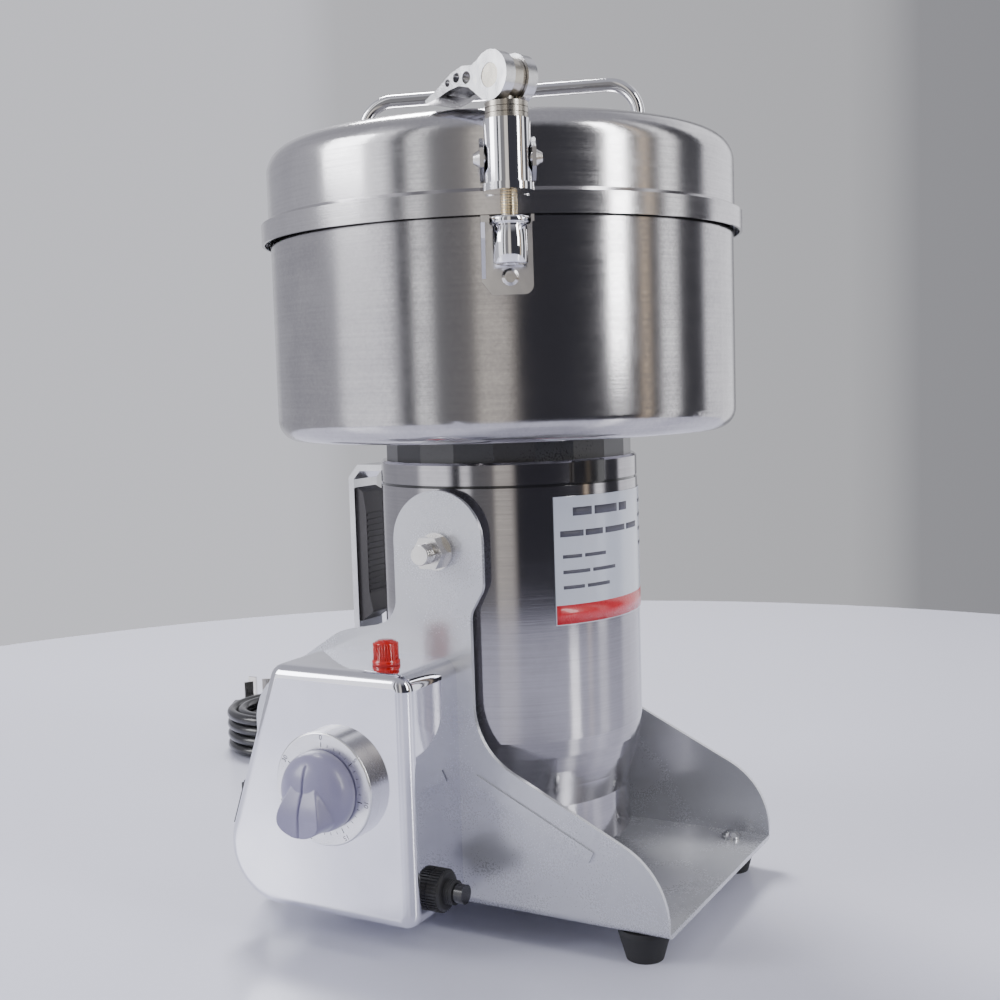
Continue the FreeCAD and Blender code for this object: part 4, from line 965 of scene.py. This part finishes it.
TUBE_STEEL = brushed_material(
    "tube steel",
    colour=(0.47, 0.46, 0.48),
    shade=(0.32, 0.31, 0.33),
    smooth=0.06,
    rough=0.16,
    rings=1100.0,
    mottle=0.15,
    relief=0.00002,
)
dress(TUBE_STEEL, "motor_tube", "neck_band")


# ---- Inside the motor ----------------------------------------------------------
# Varnished steel laminations, enamelled copper windings, die-cast brackets and fan,
# ground bearings, a copper commutator and carbon brushes in moulded holders.

LAMINATIONS = handled_material(
    "varnished laminations",
    colour=(0.10, 0.09, 0.09),
    worn=(0.17, 0.14, 0.12),
    smooth=0.35,
    rough=0.55,
    grain=1600.0,
    relief=0.0001,
    Metallic=0.6,
)
ENAMELLED_COPPER = handled_material(
    "enamelled copper",
    colour=(0.55, 0.20, 0.08),
    worn=(0.40, 0.13, 0.05),
    smooth=0.22,
    rough=0.4,
    grain=1800.0,
    relief=0.0002,
    Metallic=0.8,
)
CAST_ALUMINIUM = handled_material(
    "cast aluminium",
    colour=(0.52, 0.52, 0.54),
    worn=(0.40, 0.40, 0.42),
    smooth=0.32,
    rough=0.5,
    grain=1300.0,
    relief=0.00015,
    Metallic=0.9,
)
dress(LAMINATIONS, "stator_core", "rotor_core")
dress(ENAMELLED_COPPER, "field_windings", "commutator")
dress(CAST_ALUMINIUM, "motor_brackets", "cooling_fan")
dress(NICKEL, "motor_bearings")
dress(BLACK_MOULDING, "brush_gear")


# ---- Neck ----------------------------------------------------------------------
# A rubber seal and its glossy lug, a polished steel band, and the black collar with
# twenty flats that the bowl is bolted down to.

dress(GLOSS_BLACK, "neck_seal")
SEAT_BLACK = handled_material(
    "collar black",
    colour=(0.020, 0.020, 0.023),
    worn=(0.045, 0.045, 0.050),
    smooth=0.22,
    rough=0.4,
    grain=1500.0,
    relief=0.00006,
    Coat_Weight=0.3,
    Coat_Roughness=0.2,
)
dress(SEAT_BLACK, "seat_ring")


# ---- Rating label --------------------------------------------------------------
# A printed film stuck round the tube: pale blue-grey, a red band along its foot,
# and rows of plain dark bars where the machine's particulars are printed.

LABEL_RADIUS = 0.05946


def curved_block(inner, outer, start, end, low, high, steps):
    """A block bent round the motor's axis, between two angles in degrees."""
    corners = []
    faces = []
    for index in range(steps + 1):
        angle = radians(start + (end - start) * index / steps)
        for radius, height in ((inner, low), (outer, low), (outer, high), (inner, high)):
            corners.append((radius * cos(angle), AXIS_Y + radius * sin(angle), height))
    for index in range(steps):
        first = 4 * index
        for side in range(4):
            after = (side + 1) % 4
            faces.append((first + side, first + after, first + after + 4, first + side + 4))
    last = 4 * steps
    faces += [(0, 1, 2, 3), (last + 3, last + 2, last + 1, last)]
    return mesh_of(corners, faces)


def printed(spans):
    """Printed patches on the label from (start, end, low, high): degrees, then mm."""
    return joined(
        [
            curved_block(
                LABEL_RADIUS - 0.00005,
                LABEL_RADIUS,
                start,
                end,
                low / 1000,
                high / 1000,
                max(1, int(abs(end - start) / 2)),
            )
            for start, end, low, high in spans
        ]
    )


LABEL_FILM = handled_material(
    "label film",
    colour=(0.62, 0.66, 0.74),
    worn=(0.56, 0.60, 0.69),
    smooth=0.16,
    rough=0.28,
    grain=1200.0,
    relief=0.00003,
    Coat_Weight=0.5,
    Coat_Roughness=0.12,
)
RED_INK = handled_material(
    "red ink",
    colour=(0.66, 0.022, 0.035),
    worn=(0.56, 0.015, 0.028),
    smooth=0.2,
    rough=0.34,
    grain=2500.0,
    relief=0.00002,
    Coat_Weight=0.4,
)
dress(LABEL_FILM, "rating_label")
band = printed([(-43.3, 43.3, 132.4, 140.6)])
add_piece("label_band", band, RED_INK, "motor")
bars = []
for word_start, word_end in ((-35, -25.5), (-24, -10), (-8.5, -2)):
    bars.append((word_start, word_end, 178.6, 182.2))
for word_start, word_end in ((-41, -30), (-29, -19.5), (-18, -4), (-2.5, 9)):
    bars.append((word_start, word_end, 169.8, 172.4))
for row, (first_end, last_start, last_end) in enumerate(
    ((-31, -29.5, -18), (-27, -25.5, -12), (-30, -28.5, -16))
):
    foot = 160.6 - 6.6 * row
    bars.append((-40, first_end, foot, foot + 1.5))
    bars.append((last_start, last_end, foot, foot + 1.5))
for row in range(4):
    bars.append((14, 38 - 4 * (row % 2), 180.0 - 6.4 * row, 181.6 - 6.4 * row))
add_piece("label_bars", printed(bars), DARK_INK, "motor")


# ---- Tilt handle ---------------------------------------------------------------
# A bent steel strap riveted behind the tube for tipping the motor over. A dark
# moulded grip with shallow finger ribs is pushed into it.

STRAP_STEEL = polished_material(
    "strap steel",
    colour=(0.66, 0.66, 0.68),
    shade=(0.52, 0.52, 0.55),
    smooth=0.14,
    rough=0.28,
    waves=30.0,
    relief=0.0002,
)
GRIP_MOULDING = handled_material(
    "grip moulding",
    colour=(0.035, 0.033, 0.036),
    worn=(0.07, 0.065, 0.07),
    smooth=0.38,
    rough=0.56,
    grain=1100.0,
    relief=0.00012,
)
dress(STRAP_STEEL, "tilt_handle")
dress(GRIP_MOULDING, "handle_grip")
ribs = []
for row in range(14):
    high = 0.136 + 0.0029 * row
    rib = bar(0.0004, 0.0078, -0.0005, 0.0005)
    rib.transform(Matrix.Translation((-0.07495, AXIS_Y, high)))
    ribs.append(rib)
add_piece("grip_ribs", joined(ribs), GRIP_MOULDING, "motor", smooth=False)


# ---- Bowl ----------------------------------------------------------------------
# A deep spun stainless bowl. Its outside is polished over the spinning rings, which
# leaves a darker, slightly mottled grain.

BOWL_STEEL = brushed_material(
    "bowl steel",
    colour=(0.58, 0.57, 0.58),
    shade=(0.34, 0.33, 0.35),
    smooth=0.09,
    rough=0.22,
    rings=800.0,
    mottle=0.45,
    relief=0.00005,
)
SILICONE = handled_material(
    "white silicone",
    colour=(0.72, 0.72, 0.70),
    worn=(0.64, 0.64, 0.61),
    smooth=0.4,
    rough=0.6,
    grain=1500.0,
    relief=0.00006,
    Subsurface_Weight=0.1,
)
dress(BOWL_STEEL, "bowl")
dress(SILICONE, "shaft_seal", "lid_gasket")


# ---- Blades and shaft ----------------------------------------------------------
# Ground stainless blades clamped between spacers on the shaft by a left-hand nut.

BLADE_STEEL = brushed_material(
    "ground blade steel",
    colour=(0.64, 0.64, 0.65),
    shade=(0.50, 0.50, 0.52),
    smooth=0.18,
    rough=0.34,
    rings=1500.0,
    mottle=0.2,
    relief=0.00004,
)
dress(BLADE_STEEL, "lower_blade", "upper_blade", "blade_spacers", "motor_shaft")
dress(NICKEL, "blade_nut")


# ---- Lid -----------------------------------------------------------------------
# A pressed stainless lid whose skirt drops over the bowl's rim on a white silicone
# gasket. The shoulder and top are polished more brightly than the bowl.

LID_STEEL = brushed_material(
    "lid steel",
    colour=(0.66, 0.65, 0.66),
    shade=(0.45, 0.44, 0.46),
    smooth=0.10,
    rough=0.24,
    rings=900.0,
    mottle=0.35,
    relief=0.00004,
)
dress(LID_STEEL, "lid")


# ---- Lid handle ----------------------------------------------------------------
# A bent and polished round rod, its ends threaded through the lid with nuts inside.

BRIGHT_CHROME = polished_material(
    "bright chrome",
    colour=(0.86, 0.86, 0.88),
    shade=(0.76, 0.76, 0.80),
    smooth=0.04,
    rough=0.10,
    waves=120.0,
    relief=0.00004,
)
dress(BRIGHT_CHROME, "lid_handle")


# ---- Hinge, catch and clamp bracket --------------------------------------------
# Folded stainless pieces spot welded to the bowl and the lid, polished all over and
# held in places by slotted screws.

BRACKET_STEEL = polished_material(
    "bracket steel",
    colour=(0.76, 0.76, 0.78),
    shade=(0.60, 0.60, 0.63),
    smooth=0.10,
    rough=0.22,
    waves=110.0,
    relief=0.00012,
)
dress(BRACKET_STEEL, "bowl_hinge_leaf", "lid_hinge_leaf", "catch_bracket", "clamp_bracket")
dress(NICKEL, "bracket_screws", "swing_screws")


# ---- Clamp ---------------------------------------------------------------------
# A chromed barrel swings on two screws. A steel rod with a yellow plated thread runs through
# it from the cam's pin, past a stack of spring washers, to the long round nut whose
# collar rests on the catch. The lever is a silvered casting.

CLAMP_PLACE = Vector((0.116 * cos(radians(-60)), AXIS_Y + 0.116 * sin(radians(-60)), 0))
ON_CLAMP = Matrix.Translation(CLAMP_PLACE) @ Matrix.Rotation(radians(-60), 4, "Z")

WASHER_STEEL = polished_material(
    "spring washer steel",
    colour=(0.50, 0.47, 0.42),
    shade=(0.34, 0.31, 0.27),
    smooth=0.22,
    rough=0.38,
    waves=300.0,
    relief=0.0001,
)
YELLOW_ZINC = polished_material(
    "yellow zinc",
    colour=(0.74, 0.60, 0.34),
    shade=(0.55, 0.40, 0.20),
    smooth=0.16,
    rough=0.34,
    waves=350.0,
    relief=0.00008,
)
TURNED_STEEL = polished_material(
    "turned steel",
    colour=(0.58, 0.55, 0.49),
    shade=(0.42, 0.39, 0.34),
    smooth=0.2,
    rough=0.34,
    waves=260.0,
    relief=0.0001,
)
CAST_SILVER = polished_material(
    "silvered casting",
    colour=(0.68, 0.68, 0.70),
    shade=(0.56, 0.56, 0.58),
    smooth=0.16,
    rough=0.30,
    waves=140.0,
    relief=0.0002,
)
dress(BRIGHT_CHROME, "clamp_barrel")
dress(WASHER_STEEL, "spring_washers")
dress(TURNED_STEEL, "draw_rod", "cam_pin")
dress(CAST_SILVER, "cam_lever")

rod_thread = thread_mesh(0.0029, 0.0245, 0.0010, YELLOW_ZINC)
rod_thread.transform(Matrix.Translation((0, 0, 0.2820)))
add_piece("draw_rod_thread", rod_thread, YELLOW_ZINC, "clamp", ON_CLAMP)

ferrule = lathe(
    [
        (0.00310, 0.2796),
        (0.00590, 0.2796),
        (0.00640, 0.2801),
        (0.00640, 0.2934),
        (0.00600, 0.2938),
        (0.00600, 0.2942),
        (0.00735, 0.2944),
        (0.00750, 0.2946),
        (0.00750, 0.2964),
        (0.00700, 0.2968),
        (0.00310, 0.2968),
        (0.00310, 0.2796),
    ]
)
long_nut = add_piece("ferrule", ferrule, BRIGHT_CHROME, "clamp", ON_CLAMP)
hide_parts("ferrule_nut")


# ---- Mains cord ----------------------------------------------------------------
# A glossy black three-core lead. It leaves the near side plate through a tapered
# strain relief, drops to the table behind the box and is wound into a tied coil,
# with its moulded plug lying on its back behind the coil.

CORD_DIAMETER = 0.0068
CORD_EXIT = (-0.0700, AXIS_Y - 0.0360, 0.0300)
COIL_CENTRE = (-0.2524, AXIS_Y + 0.1491)

CORD_BLACK = handled_material(
    "black cord sheath",
    colour=(0.010, 0.010, 0.012),
    worn=(0.020, 0.020, 0.023),
    smooth=0.16,
    rough=0.3,
    grain=1200.0,
    relief=0.00005,
    Coat_Weight=0.3,
)
PIN_NICKEL = polished_material(
    "plated pin",
    colour=(0.78, 0.76, 0.72),
    shade=(0.66, 0.63, 0.58),
    smooth=0.12,
    rough=0.24,
    waves=200.0,
    relief=0.00006,
)
dress(CORD_BLACK, "cord_gland", "plug_body")
dress(PIN_NICKEL, "plug_pins")
dress(BLACK_MOULDING, "cord_tie")

route = [
    CORD_EXIT,
    (-0.0710, AXIS_Y - 0.0060, 0.0290),
    (-0.0860, AXIS_Y + 0.0240, 0.0250),
    (-0.1150, AXIS_Y + 0.0420, 0.0180),
    (-0.1410, AXIS_Y + 0.0620, 0.0080),
    (-0.1630, AXIS_Y + 0.0860, 0.0034),
    (-0.1810, AXIS_Y + 0.1120, 0.0034),
    (-0.2020, AXIS_Y + 0.1340, 0.0034),
]


def on_coil(angle, radius, high):
    """A point at an angle in degrees round the coil's middle."""
    turn = radians(angle)
    return (
        COIL_CENTRE[0] + radius * cos(turn),
        COIL_CENTRE[1] + radius * sin(turn),
        high,
    )


# Each turn's radius and height, from the floor up; a step between two turns is
# made over the first sixth of the later one.
COIL_TURNS = [
    (0.0374, 0.0043),
    (0.0306, 0.0043),
    (0.0306, 0.0111),
    (0.0374, 0.0111),
    (0.0374, 0.0179),
    (0.0306, 0.0179),
    (0.0306, 0.0247),
    (0.0374, 0.0247),
]
POINTS_PER_TURN = 18
COIL_START = 16.7
for point in range(POINTS_PER_TURN * len(COIL_TURNS) + 1):
    turn = min(point // POINTS_PER_TURN, len(COIL_TURNS) - 1)
    before = COIL_TURNS[max(turn - 1, 0)]
    now = COIL_TURNS[turn]
    share = eased(point / POINTS_PER_TURN - turn, 0.0, 0.17)
    radius = before[0] + (now[0] - before[0]) * share
    high = before[1] + (now[1] - before[1]) * share
    route.append(on_coil(COIL_START + 360 * point / POINTS_PER_TURN, radius, high))
route += [
    (-0.2257, AXIS_Y + 0.1802, 0.0234),
    (-0.2323, AXIS_Y + 0.1927, 0.0188),
    (-0.2397, AXIS_Y + 0.2050, 0.0138),
    (-0.2488, AXIS_Y + 0.2122, 0.0104),
    (-0.2601, AXIS_Y + 0.2155, 0.0083),
    (-0.2717, AXIS_Y + 0.2142, 0.0070),
    (-0.2804, AXIS_Y + 0.2094, 0.0070),
]

cord_curve = bpy.data.curves.new("mains_cord", "CURVE")
cord_curve.dimensions = "3D"
cord_curve.bevel_depth = CORD_DIAMETER / 2
cord_curve.bevel_resolution = 6
cord_curve.resolution_u = 6
cord_curve.use_fill_caps = True
line = cord_curve.splines.new("NURBS")
line.points.add(len(route) - 1)
for point, place in zip(line.points, route):
    point.co = (*place, 1.0)
line.order_u = 3
line.use_endpoint_u = True
cord_curve.materials.append(CORD_BLACK)
cord = bpy.data.objects.new("mains_cord", cord_curve)
bpy.context.scene.collection.objects.link(cord)
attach(cord, "base")
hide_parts("cord_lead", "cord_coil")


# ---- Table, light and camera ---------------------------------------------------
# The machine stands on a plain pale table in a softly lit room. Windows, walls and
# dark doorways round the room give the polished steel its light and dark streaks.


table_mesh = bpy.data.meshes.new("table")
table_mesh.from_pydata(
    [(0.8 * cos(pi * step / 48), 0.8 * sin(pi * step / 48), 0) for step in range(96)],
    [],
    [range(96)],
)
table = bpy.data.objects.new("table", table_mesh)
bpy.context.scene.collection.objects.link(table)
TABLE_TOP = handled_material(
    "pale table top",
    colour=(0.70, 0.70, 0.82),
    worn=(0.66, 0.67, 0.79),
    smooth=0.16,
    rough=0.24,
    grain=300.0,
    relief=0.00002,
    clouds=3.0,
)
table_mesh.materials.append(TABLE_TOP)


def soft_light(name, centre, width, tall, power, colour=(1, 1, 1)):
    """A rectangular lamp that faces the bowl's foot."""
    lamp = bpy.data.lights.new(name, "AREA")
    lamp.shape = "RECTANGLE"
    lamp.size = width
    lamp.size_y = tall
    lamp.energy = power
    lamp.color = colour
    holder = bpy.data.objects.new(name, lamp)
    bpy.context.scene.collection.objects.link(holder)
    away = Vector((0, 0.0106, 0.2)) - Vector(centre)
    turn = away.to_track_quat("-Z", "Y").to_matrix().to_4x4()
    holder.matrix_world = Matrix.Translation(centre) @ turn


soft_light("left window", (-1.5, -1.3, 1.1), 0.9, 1.0, 24.0, (0.97, 0.98, 1.0))
soft_light("ceiling light", (-0.75, 0.75, 1.7), 0.55, 0.55, 42.0)
soft_light("right strip", (1.5, -0.2, 0.9), 0.25, 1.4, 14.0)

# The room's bands, each from where it starts going round from due left (-X), in
# degrees, to its colour. They blend over the gaps between them.
ROOM_BANDS = [
    (0, (0.52, 0.52, 0.57)),
    (30, (0.52, 0.52, 0.57)),
    (36, (1.45, 1.45, 1.52)),
    (62, (1.45, 1.45, 1.52)),
    (69, (0.05, 0.05, 0.06)),
    (75, (0.05, 0.05, 0.06)),
    (76, (1.30, 1.30, 1.32)),
    (82, (1.30, 1.30, 1.32)),
    (86, (0.20, 0.20, 0.21)),
    (104, (0.24, 0.23, 0.23)),
    (107, (0.85, 0.80, 0.72)),
    (119, (0.75, 0.70, 0.64)),
    (125, (0.045, 0.045, 0.055)),
    (186, (0.045, 0.045, 0.055)),
    (188, (1.00, 0.80, 0.58)),
    (190, (1.00, 0.80, 0.58)),
    (192, (0.08, 0.08, 0.09)),
    (198, (0.08, 0.08, 0.09)),
    (200, (1.60, 1.60, 1.62)),
    (207, (1.60, 1.60, 1.62)),
    (212, (0.06, 0.06, 0.07)),
    (230, (0.06, 0.06, 0.07)),
    (233, (1.25, 1.25, 1.31)),
    (270, (1.25, 1.25, 1.31)),
    (275, (0.25, 0.25, 0.27)),
    (282, (0.27, 0.27, 0.29)),
    (283, (0.44, 0.44, 0.46)),
    (305, (0.50, 0.50, 0.53)),
    (307, (0.64, 0.64, 0.69)),
    (324, (0.64, 0.64, 0.69)),
    (330, (0.48, 0.48, 0.53)),
]


def room():
    """A world whose colour goes by direction: bands round it, a soft pale ceiling."""
    world = bpy.data.worlds.new("room")
    world.use_nodes = True
    tree = world.node_tree
    background = tree.nodes["Background"]
    place = tree.nodes.new("ShaderNodeTexCoord").outputs["Generated"]
    parts = tree.nodes.new("ShaderNodeSeparateXYZ")
    tree.links.new(place, parts.inputs["Vector"])
    across, along, high = parts.outputs
    turn = maths(tree, "ARCTAN2", along, across)
    share = maths(tree, "MULTIPLY_ADD", turn, 1 / (2 * pi), 0.5)
    ramp = tree.nodes.new("ShaderNodeValToRGB")
    tree.links.new(share, ramp.inputs["Fac"])
    stops = ramp.color_ramp.elements
    stops.remove(stops[1])
    stops[0].color = (*ROOM_BANDS[0][1], 1)
    for angle, colour in ROOM_BANDS[1:]:
        stops.new(angle / 360).color = (*colour, 1)
    ceiling = spread(tree, maths(tree, "MULTIPLY_ADD", high, 1.3, -0.40), 0.0, 1.0)
    sky = mixed_colour(tree, ceiling, ramp.outputs["Color"], (0.42, 0.42, 0.46))
    tree.links.new(sky, background.inputs["Color"])
    background.inputs["Strength"].default_value = 1.15
    return world


bpy.context.scene.world = room()

VIEW_TURN = radians(28.91)
VIEW_DOWN = radians(5.15)
VIEW_ROLL = radians(-1.77)
ahead = Vector(
    (-sin(VIEW_TURN) * cos(VIEW_DOWN), cos(VIEW_TURN) * cos(VIEW_DOWN), -sin(VIEW_DOWN))
)
level = Vector((cos(VIEW_TURN), sin(VIEW_TURN), 0))
upright = level.cross(ahead)
right = level * cos(VIEW_ROLL) + upright * sin(VIEW_ROLL)
above = upright * cos(VIEW_ROLL) - level * sin(VIEW_ROLL)
camera_data = bpy.data.cameras.new("camera")
camera_data.sensor_width = 36.0
camera_data.lens = 47.86
camera_data.clip_start = 0.02
camera = bpy.data.objects.new("camera", camera_data)
bpy.context.scene.collection.objects.link(camera)
camera.matrix_world = Matrix.Translation((0.29302, AXIS_Y - 0.53996, 0.23686)) @ Matrix(
    (
        (right.x, above.x, -ahead.x, 0),
        (right.y, above.y, -ahead.y, 0),
        (right.z, above.z, -ahead.z, 0),
        (0, 0, 0, 1),
    )
)
bpy.context.scene.camera = camera
